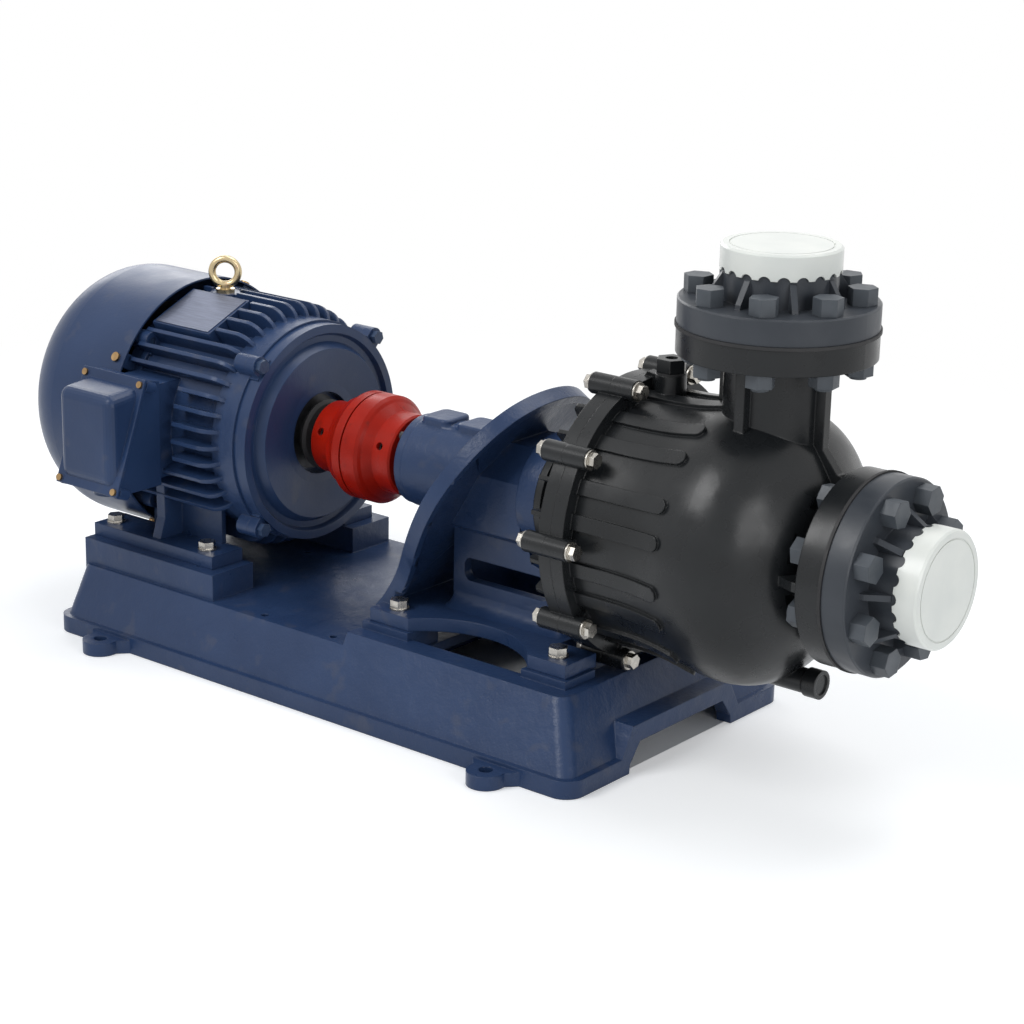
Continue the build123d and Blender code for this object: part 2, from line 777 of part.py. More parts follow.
def make_terminal_box():
    """The box on the frame's near side, open to its sloping mouth."""
    outer = extrude(side_plane(box_start + 4) * box_outline(box_top_depth, box_front_depth, box_back),
                    box_end - box_start - 8)
    inner = extrude(side_plane(box_start + 4 + box_wall) * make_face(
        Polyline((-box_back - box_wall, box_bottom + box_wall), (-box_back - box_wall, box_top - 4 - box_wall),
                 (-box_front_depth - 40, box_top + 4 - box_wall), (-box_front_depth - 40, box_bottom + box_wall),
                 close=True)), box_end - box_start - 8 - 2 * box_wall)
    # The back corner is hollowed to clear the rim of the cowl.
    relief = cowl_radius + cowl_relief
    inner -= rod(relief + box_wall, box_start - 1, cowl_front + cowl_relief + box_wall)
    box = outer - inner - rod(relief, box_start - 1, cowl_front + cowl_relief)
    box -= block(block_centre - 14, block_centre + 14, -box_back - box_wall - 1, -box_back + 1, 224, 256)
    box += post(cable_hole_radius + 5, box_bottom - 9, box_bottom, (box_start + box_end) / 2, -168)
    box -= post(cable_hole_radius, box_bottom - 10, box_bottom + box_wall + 1, (box_start + box_end) / 2, -168)
    for x, y, z in cover_screw_places():
        box += mouth_post(x, y, z, 6, -14, 0) - inner
        box -= mouth_post(x, y, z, 2.0 + running_gap, -13, 1)
    return box


def mouth_normal():
    """Unit vector straight out of the sloping mouth, in Y and Z."""
    dy, dz = mouth_direction()
    return dz, -dy


def mouth_post(x, y, z, radius, start, end):
    """A cylinder that stands square on the sloping mouth."""
    ny, nz = mouth_normal()
    plane = Plane(origin=(x, y + ny * start, z + nz * start), x_dir=(1, 0, 0), z_dir=(0, ny, nz))
    return extrude(plane * Circle(radius), end - start)


def cover_screw_places():
    """The four cover screws, on the sloping mouth."""
    dy, dz = mouth_direction()
    length = math.hypot(box_front_depth - box_top_depth, box_top - box_bottom)
    places = []
    for x in (box_start + 5, box_end - 5):
        for along in (5, length - 5):
            places.append((x, -box_top_depth + dy * along, box_top + dz * along))
    return places


def make_terminal_cover():
    """The cover: a plate on the sloping mouth with a bulge that ends in an upright face."""
    ny, nz = mouth_normal()
    t = cover_plate
    top = (-box_top_depth, box_top)
    bottom = (-box_front_depth, box_bottom)
    plate = extrude(side_plane(box_start) * make_face(
        Polyline(top, bottom, (bottom[0] + ny * t, bottom[1] + nz * t), (top[0] + ny * t, top[1] + nz * t),
                 close=True)), box_end - box_start)
    dy, dz = mouth_direction()
    length = math.hypot(box_front_depth - box_top_depth, box_top - box_bottom)
    upper = (top[0] + dy * cover_inset, top[1] + dz * cover_inset)
    lower = (top[0] + dy * (length - cover_inset), top[1] + dz * (length - cover_inset))
    bulge = extrude(side_plane(box_start + cover_inset) * make_face(
        Polyline(upper, (-cover_front_depth, upper[1] - 4), (-cover_front_depth, lower[1] + 2), lower, close=True)),
        box_end - box_start - 2 * cover_inset)
    bulge = fillet(bulge.faces().sort_by(Axis.Y)[0].edges(), cover_corner)
    for x, y, z in cover_screw_places():
        bulge -= mouth_post(x, y, z, screw_recess, t, t + 60)
    shell_inset = cover_hollow_inset
    upper_in = (top[0] + dy * shell_inset, top[1] + dz * shell_inset)
    lower_in = (top[0] + dy * (length - shell_inset - 16), top[1] + dz * (length - shell_inset - 16))
    hollow = extrude(side_plane(box_start + shell_inset) * make_face(
        Polyline((upper_in[0] + 30, upper_in[1]), (-cover_front_depth + t, upper_in[1] - 4),
                 (-cover_front_depth + t, lower_in[1]), (lower_in[0] + 30, lower_in[1]), close=True)),
        box_end - box_start - 2 * shell_inset)
    cover = plate + bulge - hollow
    for x, y, z in cover_screw_places():
        cover -= mouth_post(x, y, z, 2.4, -1, t + 4)
    return cover


def make_cover_screws():
    """Pan-head screws of the terminal cover."""
    screws = []
    for x, y, z in cover_screw_places():
        screw = mouth_post(x, y, z, 3.6, cover_plate, cover_plate + 3) + mouth_post(x, y, z, 2.0, -12, cover_plate)
        screws.append(screw)
    return screws


def make_terminal_block():
    """The moulded block with six brass studs, on the back wall of the box."""
    face = -box_back - box_wall
    block_body = block(block_centre - 24, block_centre + 24, face - 12, face, 196, 222)
    for column in (-16, 0, 16):
        for z in (203, 215):
            block_body += cross_pin(2.5, face - 24, face - 12, block_centre + column, z)
    return block_body


def make_stator_core():
    start, end = core_span()
    return collar(frame_bore_radius, rotor_radius + air_gap, start, end)


def core_span():
    """Where the lamination stack starts and ends."""
    return stator_centre - stator_length / 2, stator_centre + stator_length / 2


def make_windings():
    """The two end windings as closed rings."""
    start, end = core_span()
    outer = winding_radius
    front = turned([(end, 70), (end, outer), (end + winding_length - 4, outer - 2), (end + winding_length, 88),
                    (end + winding_length, 78), (end + winding_length - 4, 71)])
    rear = turned([(start, 70), (start, outer), (start - winding_length + 4, outer - 2), (start - winding_length, 88),
                   (start - winding_length, 78), (start - winding_length + 4, 71)])
    return [front, rear]


def make_motor_shaft():
    """Stepped shaft from the fan to the coupling."""
    start, end = core_span()
    rear_seat = motor_bearing_rear + bearing_width
    front_seat = motor_bearing_front - bearing_width
    return turned([
        (fan_rear, 0), (fan_rear, 14), (motor_bearing_rear - 6, 14), (motor_bearing_rear - 6, motor_seat_radius),
        (rear_seat, motor_seat_radius), (rear_seat, motor_core_radius), (front_seat, motor_core_radius),
        (front_seat, motor_seat_radius), (motor_bearing_front + 2, motor_seat_radius),
        (motor_bearing_front + 2, motor_shaft_radius), (coupling_gap_x - coupling_gap - 2, motor_shaft_radius),
        (coupling_gap_x - coupling_gap - 2, 0)
    ])


def make_rotor_core():
    """Lamination stack with cast end rings and small fan teeth."""
    start, end = core_span()
    core = collar(rotor_radius, motor_core_radius, start, end)
    core += collar(rotor_radius - 4, rotor_radius - 16, start - 10, end + 10)
    for index in range(8):
        tooth = block(end + 9, end + 16, -2, 2, shaft_height + rotor_radius - 15, shaft_height + rotor_radius - 5)
        core += about_shaft(tooth, 45 * index)
    return core


def make_bearing_rings(front, width, outer, bore):
    """Outer and inner ring of a shielded ball bearing, with a groove for its shields."""
    rear = front - width
    gap = running_gap
    split = bore + (outer - bore) * 0.42
    outer_ring = turned([(rear, outer), (front, outer), (front, split + gap), (front - 2, split + gap),
                         (front - 3, split + 7), (rear + 3, split + 7), (rear + 2, split + gap), (rear, split + gap)])
    inner_ring = turned([(rear, bore), (front, bore), (front, split), (front - 2, split), (front - 3, split - 3),
                         (rear + 3, split - 3), (rear + 2, split), (rear, split)])
    return outer_ring, inner_ring


def make_fan():
    """Moulded fan: hub, back disc and straight radial blades."""
    front = fan_rear + fan_length
    fan = collar(26, 14, fan_rear + 4, front)
    fan += collar(fan_radius - 8, 20, front - 3, front)
    for index in range(fan_blades):
        outline = make_face(
            Polyline((fan_rear + 4, 24), (fan_rear, 60), (fan_rear, fan_radius - 22), (fan_rear + 8, fan_radius),
                     (front - 2, fan_radius), (front - 2, 24), close=True))
        blade = extrude(section_plane() * outline, 1.5, both=True)
        fan += about_shaft(blade, 360 * index / fan_blades)
    return fan


def make_v_ring():
    """Rubber ring that throws water off at the drive end."""
    return turned([(dish_front - 3, motor_shaft_radius), (dish_front - 3, 35), (dish_front + 1, 37),
                   (dish_front + 3, 33), (dish_front + 3, motor_shaft_radius)])


# Coupling


def jaw_sector(inner, outer, x0, x1, width_deg, angle):
    """A ring sector about the shaft line."""
    ring = collar(outer, inner, x0, x1)
    half = math.radians(width_deg / 2)
    far = outer * 1.6
    wedge = make_face(Polyline((0, 0), (far * math.sin(-half), far * math.cos(half)),
                               (far * math.sin(half), far * math.cos(half)), close=True))
    plane = Plane(origin=(x0 - 1, 0, shaft_height), x_dir=(0, 1, 0), z_dir=(1, 0, 0))
    cutter = extrude(plane * wedge, x1 - x0 + 2)
    return about_shaft(ring & cutter, angle)


def make_coupling_motor_half():
    """Driving half: hub, cone, flange and three jaws."""
    face = coupling_gap_x - coupling_gap
    half = turned([
        (coupling_rear, motor_shaft_radius), (coupling_rear, coupling_hub_motor - 2),
        (coupling_rear + 2, coupling_hub_motor), (face - 32, coupling_hub_motor), (face - 26, coupling_hub_motor + 10),
        (face - 20, coupling_hub_motor + 12), (face - 14, coupling_radius - 3), (face - 10, coupling_radius),
        (face, coupling_radius), (face, motor_shaft_radius)
    ])
    for index in range(jaw_count):
        half += jaw_sector(26, 46, face - 1, face + jaw_depth, jaw_angle, 120 * index)
    screw = post(set_screw_radius, shaft_height + motor_shaft_radius, shaft_height + coupling_hub_motor + 1,
                 coupling_rear + 13, 0)
    return half - about_shaft(screw, 68)


def make_coupling_pump_half():
    """Driven half: its rim hides the jaws and the rubber star."""
    face = coupling_gap_x
    cup = face + jaw_depth + 1
    half = turned([
        (face, 48), (face, coupling_radius), (face + 18, coupling_radius), (face + 21, coupling_radius - 3),
        (face + 23, coupling_radius - 6), (face + 28, coupling_hub_pump + 3), (face + 31, coupling_hub_pump),
        (coupling_front - 2, coupling_hub_pump), (coupling_front, coupling_hub_pump - 2),
        (coupling_front, pump_shaft_radius), (cup, pump_shaft_radius), (cup, 48)
    ])
    for index in range(jaw_count):
        half += jaw_sector(26, 48.5, face + 2, cup + 1, jaw_angle, 60 + 120 * index)
    screw = post(set_screw_radius, shaft_height + pump_shaft_radius, shaft_height + coupling_hub_pump + 1,
                 coupling_front - 15, 0)
    return half - about_shaft(screw, 68)


def make_coupling_star():
    """Rubber star with six legs between the jaws."""
    start = coupling_gap_x + 2
    end = coupling_gap_x + jaw_depth - 2.5
    star = collar(25.5, 17, start, end)
    for index in range(jaw_count):
        for side in (-1, 1):
            star += jaw_sector(24, 45, start, end, star_leg_angle, 60 + 120 * index + side * star_leg_offset)
    return star


def make_set_screws():
    """Socket screws of both hubs, seated on the shafts."""
    screws = []
    for x, low, high in ((coupling_rear + 13, motor_shaft_radius, coupling_hub_motor),
                         (coupling_front - 15, pump_shaft_radius, coupling_hub_pump)):
        screw = post(set_screw_radius, shaft_height + low + 0.4, shaft_height + high - 5, x, 0)
        socket = hex_z(4, shaft_height + high - 9, shaft_height + high - 4, x, 0)
        screws.append(about_shaft(screw - socket, 68))
    return screws


# Bearing bracket


def arch_plane(offset=0.0):
    """The leaning plane of the arch, local X along +Y, local Y up the lean, centred on the shaft."""
    lean = math.radians(arch_lean)
    centre_x = arch_foot_x + (shaft_height - bracket_top) * math.tan(lean)
    normal = (math.cos(lean), 0, -math.sin(lean))
    origin = (centre_x + normal[0] * offset, 0, shaft_height + normal[2] * offset)
    return Plane(origin=origin, x_dir=(0, 1, 0), z_dir=normal)


def arch_side(inset):
    """Half of the arch's edge as points from its crown to its foot, moved inwards by an inset."""
    lean = math.radians(arch_lean)
    foot = -(shaft_height - bracket_seat_height) / math.cos(lean)
    edge = (
        (0, 114, 0, 1), (66, 96, 0.57, 0.82), (101, 58, 0.87, 0.5), (117, 4, 1, 0), (112, -42, 1, -0.1),
        (100, -82, 1, -0.1), (90, -122, 1, 0), (91, -144, 1, 0), (arch_foot_half_width, foot, 1, -1)
    )
    return [(y - inset * out_y, v - inset * out_v) for y, v, out_y, out_v in edge]


def arch_outline(inset=0.0):
    """Round head that narrows to a waist and spreads again at the foot."""
    right = arch_side(inset)
    left = [(-y, v) for y, v in reversed(right)]
    edges = [
        Spline(*right, tangents=((1, 0), (0.4, -1))), Line(right[-1], left[0]),
        Spline(*left, tangents=((0.4, 1), (1, 0)))
    ]
    return make_face(edges)


def make_bracket():
    """The cast bracket: leaning arch, bearing housing, box body, windowed pedestal and foot."""
    arch = extrude(arch_plane(-arch_rim / 2) * arch_outline(), arch_rim)
    arch -= extrude(arch_plane(-arch_rim / 2 + arch_web) * arch_outline(arch_rim_width), arch_rim)
    foot = block(bracket_foot_start, bracket_foot_end, -bracket_foot_half_width, bracket_foot_half_width,
                 bracket_seat_height, bracket_top)
    arc_radius = (foot_arc_half_chord**2 + foot_arc_depth**2) / (2 * foot_arc_depth)
    for sign in (-1, 1):
        centre_y = sign * (bracket_foot_half_width - foot_arc_depth + arc_radius)
        foot -= post(arc_radius, bracket_seat_height - 1, bracket_top + 1, foot_arc_x, centre_y)
    foot -= block(foot_mouth, bracket_foot_end + 1, -64, 64, bracket_seat_height - 1, bracket_top + 1)
    body_outline = make_face(
        Polyline((-housing_body_half_width, housing_body_bottom + 6), (-housing_body_half_width, shaft_height + 18),
                 (26 - housing_body_half_width, housing_body_top), (housing_body_half_width - 26, housing_body_top),
                 (housing_body_half_width, shaft_height + 18), (housing_body_half_width, housing_body_bottom + 6),
                 (housing_body_half_width - 8, housing_body_bottom), (8 - housing_body_half_width, housing_body_bottom),
                 close=True))
    body = extrude(side_plane(84) * body_outline, neck_start - 84)
    housing = rod(housing_radius, housing_start, neck_start)
    for start, end in lump_spans:
        outline = RectangleRounded(end - start, 2 * lump_half_width, 8)
        housing += Pos((start + end) / 2, 0, shaft_height) * extrude(outline, housing_radius + lump_height)
    pedestal_outline = make_face(
        Polyline((pedestal_start, bracket_top - 1), (pedestal_start, housing_body_bottom + 4),
                 (neck_start + 4, housing_body_bottom + 4), (neck_start + 9, pedestal_low_top + 2),
                 (neck_end + 4, pedestal_low_top - 2), (pedestal_end, pedestal_low_top - 6),
                 (pedestal_end, bracket_top - 1), close=True))
    pedestal = extrude(Plane(origin=(0, 0, 0), x_dir=(1, 0, 0), z_dir=(0, -1, 0)) * pedestal_outline,
                       pedestal_half_width, both=True)
    middle = (pedestal_start + pedestal_end) / 2
    length = pedestal_end - pedestal_start
    width = 2 * pedestal_half_width
    skirt = loft([
        Pos(middle, 0, bracket_top) * RectangleRounded(length + 14, width + 26, 12),
        Pos(middle, 0, bracket_top + 5) * RectangleRounded(length + 5, width + 9, 6),
        Pos(middle, 0, bracket_top + 15) * RectangleRounded(length, width, 2)
    ])
    bracket = foot + arch + body + pedestal + skirt
    # Everything behind the leaning web, apart from the housing, is trimmed to the web.
    behind = extrude(arch_plane(-arch_rim / 2) * Rectangle(400, 600), -200)
    bracket -= behind & block(0, 260, -300, 300, bracket_top, 600)
    bracket += housing
    bracket += rod(neck_radius, neck_start - 2, neck_end)
    bracket &= block(0, bracket_foot_end, -300, 300, bracket_seat_height, 600)
    hollow = block(pedestal_start + pedestal_wall, pedestal_end - pedestal_wall, pedestal_wall - pedestal_half_width,
                   pedestal_half_width - pedestal_wall, bracket_seat_height - 1, window_top)
    bracket -= hollow
    window = Pos((window_start + window_end) / 2, 0, (window_bottom + window_top) / 2) * Rot(90, 0, 0) * extrude(
        RectangleRounded(window_end - window_start, window_top - window_bottom, window_corner), 90, both=True)
    bracket -= window
    # Bore line: bearing seats at both ends, a wider oil space between and the seal end.
    seat_front = pump_bearing_positions[1] + pump_bearing_width
    bracket -= rod(housing_bore, housing_start - 1, seat_front)
    bracket -= rod(28, seat_front - 1, neck_end + 1)
    bracket -= rod(42, neck_end - 8, neck_end + 1)
    for angle in (45, 135, 225, 315):
        hole = rod(3 + running_gap, housing_start - 1, housing_start + 12, 0, shaft_height + 41.5)
        bracket -= about_shaft(hole, angle)
        stud = rod(4 + running_gap, neck_start + 4, neck_end + 1, 0, shaft_height + 51)
        bracket -= about_shaft(stud, angle)
    for x in bracket_bolt_x:
        for y in (-bracket_bolt_y, bracket_bolt_y):
            bracket -= post(bracket_bolt_radius + 1, bracket_seat_height - 1, bracket_top + 1, x, y)
            bracket -= post(bracket_bolt_flats * 0.7, bracket_top, bracket_top + 14, x, y)
    return bracket


def make_end_cover():
    """Bearing cover at the coupling end."""
    cover = turned([
        (end_cover_start, pump_shaft_radius + 7), (end_cover_start, housing_radius - 2),
        (end_cover_start + 1, housing_radius - 1), (housing_start, housing_radius - 1),
        (housing_start, housing_bore - running_gap), (pump_bearing_positions[0], housing_bore - running_gap),
        (pump_bearing_positions[0], pump_shaft_radius + 14), (end_cover_start + 6, pump_shaft_radius + 14),
        (end_cover_start + 6, pump_shaft_radius + 7)
    ])
    for angle in (45, 135, 225, 315):
        hole = rod(3.3, end_cover_start - 1, housing_start + 1, 0, shaft_height + 41.5)
        cover -= about_shaft(hole, angle)
    return cover


def make_end_cover_bolts():
    """Bolts of the bearing cover."""
    bolts = []
    for angle in (45, 135, 225, 315):
        bolt = rod(4.2, end_cover_start - 4, end_cover_start, 0, shaft_height + 41.5)
        bolt -= hex_x(4, end_cover_start - 5, end_cover_start - 2, 0, shaft_height + 41.5)
        bolt += rod(3, end_cover_start, housing_start + 10, 0, shaft_height + 41.5)
        bolts.append(about_shaft(bolt, angle))
    return bolts


def upright_bolt(radius, flats, head, seat, depth, x, y):
    """A hexagon bolt with a washer, from above."""
    bolt = post(radius * 2.0, seat, seat + washer_thickness, x, y)
    bolt += hex_z(flats, seat + washer_thickness, seat + washer_thickness + head, x, y)
    bolt += post(radius, seat - depth, seat, x, y)
    return bolt


def make_motor_foot_bolts():
    bolts = []
    for x in motor_bolt_places():
        for y in (-motor_foot_pitch_y / 2, motor_foot_pitch_y / 2):
            bolts.append(
                upright_bolt(foot_bolt_radius, foot_bolt_flats, foot_bolt_head, foot_top,
                             motor_foot_thickness + foot_bolt_depth - 2, x, y))
    return bolts


def make_bracket_foot_bolts():
    bolts = []
    for x in bracket_bolt_x:
        for y in (-bracket_bolt_y, bracket_bolt_y):
            bolts.append(
                upright_bolt(bracket_bolt_radius, bracket_bolt_flats, bracket_bolt_head, bracket_top,
                             bracket_bolt_depth, x, y))
    return bolts


# Pump shaft line


def make_pump_shaft():
    """Shaft from the coupling through both bearings to the impeller."""
    first_rear = pump_bearing_positions[0]
    last_front = pump_bearing_positions[1] + pump_bearing_width
    return turned([
        (coupling_gap_x + jaw_depth + 3, 0), (coupling_gap_x + jaw_depth + 3, pump_shaft_radius),
        (first_rear + pump_bearing_width, pump_shaft_radius), (first_rear + pump_bearing_width, 19),
        (pump_bearing_positions[1], 19), (pump_bearing_positions[1], pump_shaft_radius),
        (sleeve_start, pump_shaft_radius), (impeller_back, pump_shaft_radius), (impeller_back, 11),
        (impeller_back + 30, 11), (impeller_back + 30, 0)
    ])


def make_shaft_sleeve():
    """Chemical-proof sleeve over the wet end of the shaft."""
    return collar(shaft_sleeve_radius, pump_shaft_radius, sleeve_start, impeller_back)


def make_oil_seals():
    """Lip seals at both ends of the bearing housing."""
    rear = turned([(end_cover_start + 0.5, pump_shaft_radius + 0.1), (end_cover_start + 0.5, pump_shaft_radius + 7),
                   (end_cover_start + 6, pump_shaft_radius + 7), (end_cover_start + 6, pump_shaft_radius + 3),
                   (end_cover_start + 3, pump_shaft_radius + 0.1)])
    last_front = pump_bearing_positions[1] + pump_bearing_width
    front = turned([(last_front + 4, pump_shaft_radius + 0.1), (last_front + 4, 28), (last_front + 12, 28),
                    (last_front + 12, 20), (last_front + 8, pump_shaft_radius + 0.1)])
    return [rear, front]


def make_seal_seat():
    """Stationary ring of the mechanical seal, in the rear cover's bore."""
    return turned([(seal_face_x - 12, shaft_sleeve_radius + 1.5), (seal_face_x - 12, 30), (seal_face_x - 3, 30),
                   (seal_face_x, 26), (seal_face_x, shaft_sleeve_radius + 1.5)])


def make_seal_ring():
    """Rotating ring with its folded bellows and clamp collar."""
    start = seal_face_x
    points = [(start + 0.02, shaft_sleeve_radius), (start + 0.02, 25), (start + 6, 25)]
    fold_start = start + 6
    folds = 4
    pitch = 4.0
    for index in range(folds):
        left = fold_start + index * pitch
        points += [(left + 0.6, 21), (left + pitch / 2 - 0.4, 21), (left + pitch / 2 + 0.4, 27), (left + pitch, 27)]
    end = fold_start + folds * pitch
    points += [(end + 1, 27), (end + 8, 27), (end + 8, shaft_sleeve_radius)]
    return turned(points)


def make_impeller():
    """Closed impeller with six backward-curved vanes."""
    front = impeller_back + impeller_width
    back_disc = turned([(impeller_back, 11), (impeller_back, impeller_radius),
                        (impeller_back + impeller_shroud, impeller_radius), (impeller_back + impeller_shroud, 26),
                        (impeller_back + impeller_shroud + 8, 18), (front - 6, 17), (front - 6, 11)])
    front_disc = turned([(front - impeller_shroud - 2, impeller_eye + 6), (front - impeller_shroud, impeller_radius),
                         (front, impeller_radius), (front, impeller_eye + 5), (front + 10, impeller_eye + 5),
                         (front + 10, impeller_eye), (front - 2, impeller_eye)])
    plane = Plane(origin=(impeller_back + impeller_shroud - 1, 0, shaft_height), x_dir=(0, 1, 0), z_dir=(1, 0, 0))
    vanes = []
    for index in range(vane_count):
        turn = math.radians(360 * index / vane_count)
        points = []
        for share in (0.0, 0.33, 0.66, 1.0):
            radius = 30 + (impeller_radius - 1 - 30) * share
            angle = turn + math.radians(58) * share
            points.append((radius * math.cos(angle), radius * math.sin(angle)))
        path = Spline(*points)
        band = trace(path, vane_thickness)
        vanes.append(extrude(plane * band, impeller_width - 2 * impeller_shroud + 1))
    impeller = back_disc + front_disc
    for vane in vanes:
        impeller += vane
    limit = collar(impeller_radius, 11, impeller_back, front + 12)
    return impeller & limit


def make_impeller_nut():
    """Domed nut that holds the impeller."""
    front = impeller_back + impeller_width - 6
    return turned([(front, 11), (front, 17), (front + 6, 16), (front + 12, 10), (front + 14, 0),
                   (impeller_back + 30, 0), (impeller_back + 30, 11)])


# Rear cover, volute and casing


def clamp_angles():
    """The clamp bolts straddle the upright plane."""
    step = 360.0 / clamp_count
    return [step / 2 + step * index for index in range(clamp_count)]


def make_rear_cover():
    """Rear cover: clamp ring, web, hub to the bracket and two fins in each bay."""
    cover = turned([
        (seam_x, ring_radius), (ring_back, ring_radius), (ring_back, 128), (ring_back - cover_web, 120),
        (ring_back - cover_web, 72), (ring_back - 26, 52), (ring_back - 36, 44), (neck_end + 8, 43),
        (neck_end + 8, neck_radius),
        (neck_end, neck_radius), (neck_end, 42 - running_gap), (neck_end - 6, 42 - running_gap), (neck_end - 6, 32),
        (seal_face_x - 12, 32), (seal_face_x - 12, 30), (seal_face_x - 3, 30), (seal_face_x - 3, 36),
        (ring_back, 40), (ring_back, 110), (seam_x, 114)
    ])
    for angle in clamp_angles():
        boss = rod(clamp_boss_radius, seam_x - clamp_boss_length, seam_x, 0, shaft_height + clamp_circle)
        cover += about_shaft(boss, angle)
        for offset in (-rib_spread, rib_spread):
            outline = make_face(
                Polyline((ring_back - cover_web + 1, 56), (ring_back - 30, 46), (cover_back, 96), (cover_back, 126),
                         (cover_back + 3, 130), (ring_back, 131), (ring_back, 118), (ring_back - cover_web + 1, 112),
                         close=True))
            fin = extrude(section_plane() * outline, cover_fin_thickness / 2, both=True)
            cover += about_shaft(fin, angle + 180.0 / clamp_count + offset)
    for angle in clamp_angles():
        hole = rod(clamp_bolt_radius + 0.5, seam_x - clamp_boss_length - 1, seam_x + 1, 0,
                   shaft_height + clamp_circle)
        cover -= about_shaft(hole, angle)
    for angle in (45, 135, 225, 315):
        hole = rod(4.5, neck_end - 1, neck_end + 9, 0, shaft_height + 51)
        cover -= about_shaft(hole, angle)
    return cover


def make_cover_bolts():
    """Bolts that hold the rear cover to the bracket's neck."""
    bolts = []
    for angle in (45, 135, 225, 315):
        bolt = hex_x(9, neck_end + 8, neck_end + 14, 0, shaft_height + 51)
        bolt += rod(4, neck_start + 6, neck_end + 8, 0, shaft_height + 51)
        bolts.append(about_shaft(bolt, angle))
    return bolts


def make_volute():
    """Inner bowl round the impeller, with its throat at the top and a suction tube."""
    front = impeller_back + impeller_width + 14
    inner = impeller_radius + 4
    volute = turned([
        (ring_back, 96), (ring_back, 108), (ring_back + 6, 108), (ring_back + 10, 98), (front - 4, 96), (front, 90),
        (front, 48), (front + 10, 42), (chamber_start - 2, 42), (chamber_start - 2, chamber_radius - 0.1),
        (chamber_start + 6, chamber_radius - 0.1), (chamber_start + 6, 38), (front - 2, 38),
        (front - 6, impeller_eye + 5.5), (front - 8, impeller_eye + 5.5), (front - 8, inner), (front - 10, inner + 6),
        (ring_back + 6, inner + 6), (ring_back + 3, inner + 8)
    ])
    throat = Pos(0, 0, shaft_height + 90) * block(ring_back + 14, front - 14, -22, 22, -12, 20)
    return volute - throat


def casing_outline():
    """Outer line of the casing from the clamp ring to the suction neck."""
    ring_front = seam_x + ring_thickness
    neck = (ring_front, casing_neck_radius)
    bulge = (casing_bulge_x, casing_bulge_radius)
    end = (casing_dome_end, suction_neck_radius)
    swell = ((ring_front + casing_bulge_x) / 2 + 14, casing_neck_radius + 3.2)
    over = (casing_bulge_x + 66, casing_bulge_radius - 42)
    return neck, swell, bulge, over, end


def casing_body(shrink, start, cap_at):
    """A turned body inside the casing's outline, smaller by a wall."""
    neck, swell, bulge, over, end = casing_outline()
    p0 = (start, neck[1] - shrink)
    p1 = (swell[0], swell[1] - shrink)
    p2 = (bulge[0], bulge[1] - shrink)
    p3 = (over[0] - shrink * 0.7, over[1] - shrink * 0.7)
    p4 = (end[0] - shrink, end[1] - 8 if shrink else end[1])
    front = Spline(p0, p1, p2, tangents=((1, 0), (1, 0)))
    dome = Spline(p2, p3, p4, tangents=((1, 0), (0.35, -1)))
    edges = [front, dome, Line(p4, (p4[0], 0)), Line((p4[0], 0), (start, 0)), Line((start, 0), p0)]
    return revolve(section_plane() * make_face(edges), Axis((0, 0, shaft_height), (1, 0, 0)), 360)


def casing_rib(angle):
    """An upright bar with a round end that cuts one long low rib out of the grown body."""
    start = seam_x + ring_thickness - 2
    low = shaft_height + casing_neck_radius - casing_wall / 2
    high = shaft_height + casing_bulge_radius + 20
    bar = block(start, start + rib_length - rib_width / 2, -rib_width / 2, rib_width / 2, low, high)
    bar += post(rib_width / 2, low, high, start + rib_length - rib_width / 2, 0)
    return about_shaft(bar, angle)


def port_flange():
    """The casing's own flange, drawn along +Z with its joint face half a gasket below zero."""
    flange = Pos(0, 0, -gasket_thickness / 2 - flange_thickness / 2) * Cylinder(flange_radius, flange_thickness)
    for location in PolarLocations(bolt_circle, bolt_count, 180.0 / bolt_count):
        flange -= location * Cylinder(bolt_hole_radius, 4 * flange_thickness)
    return flange


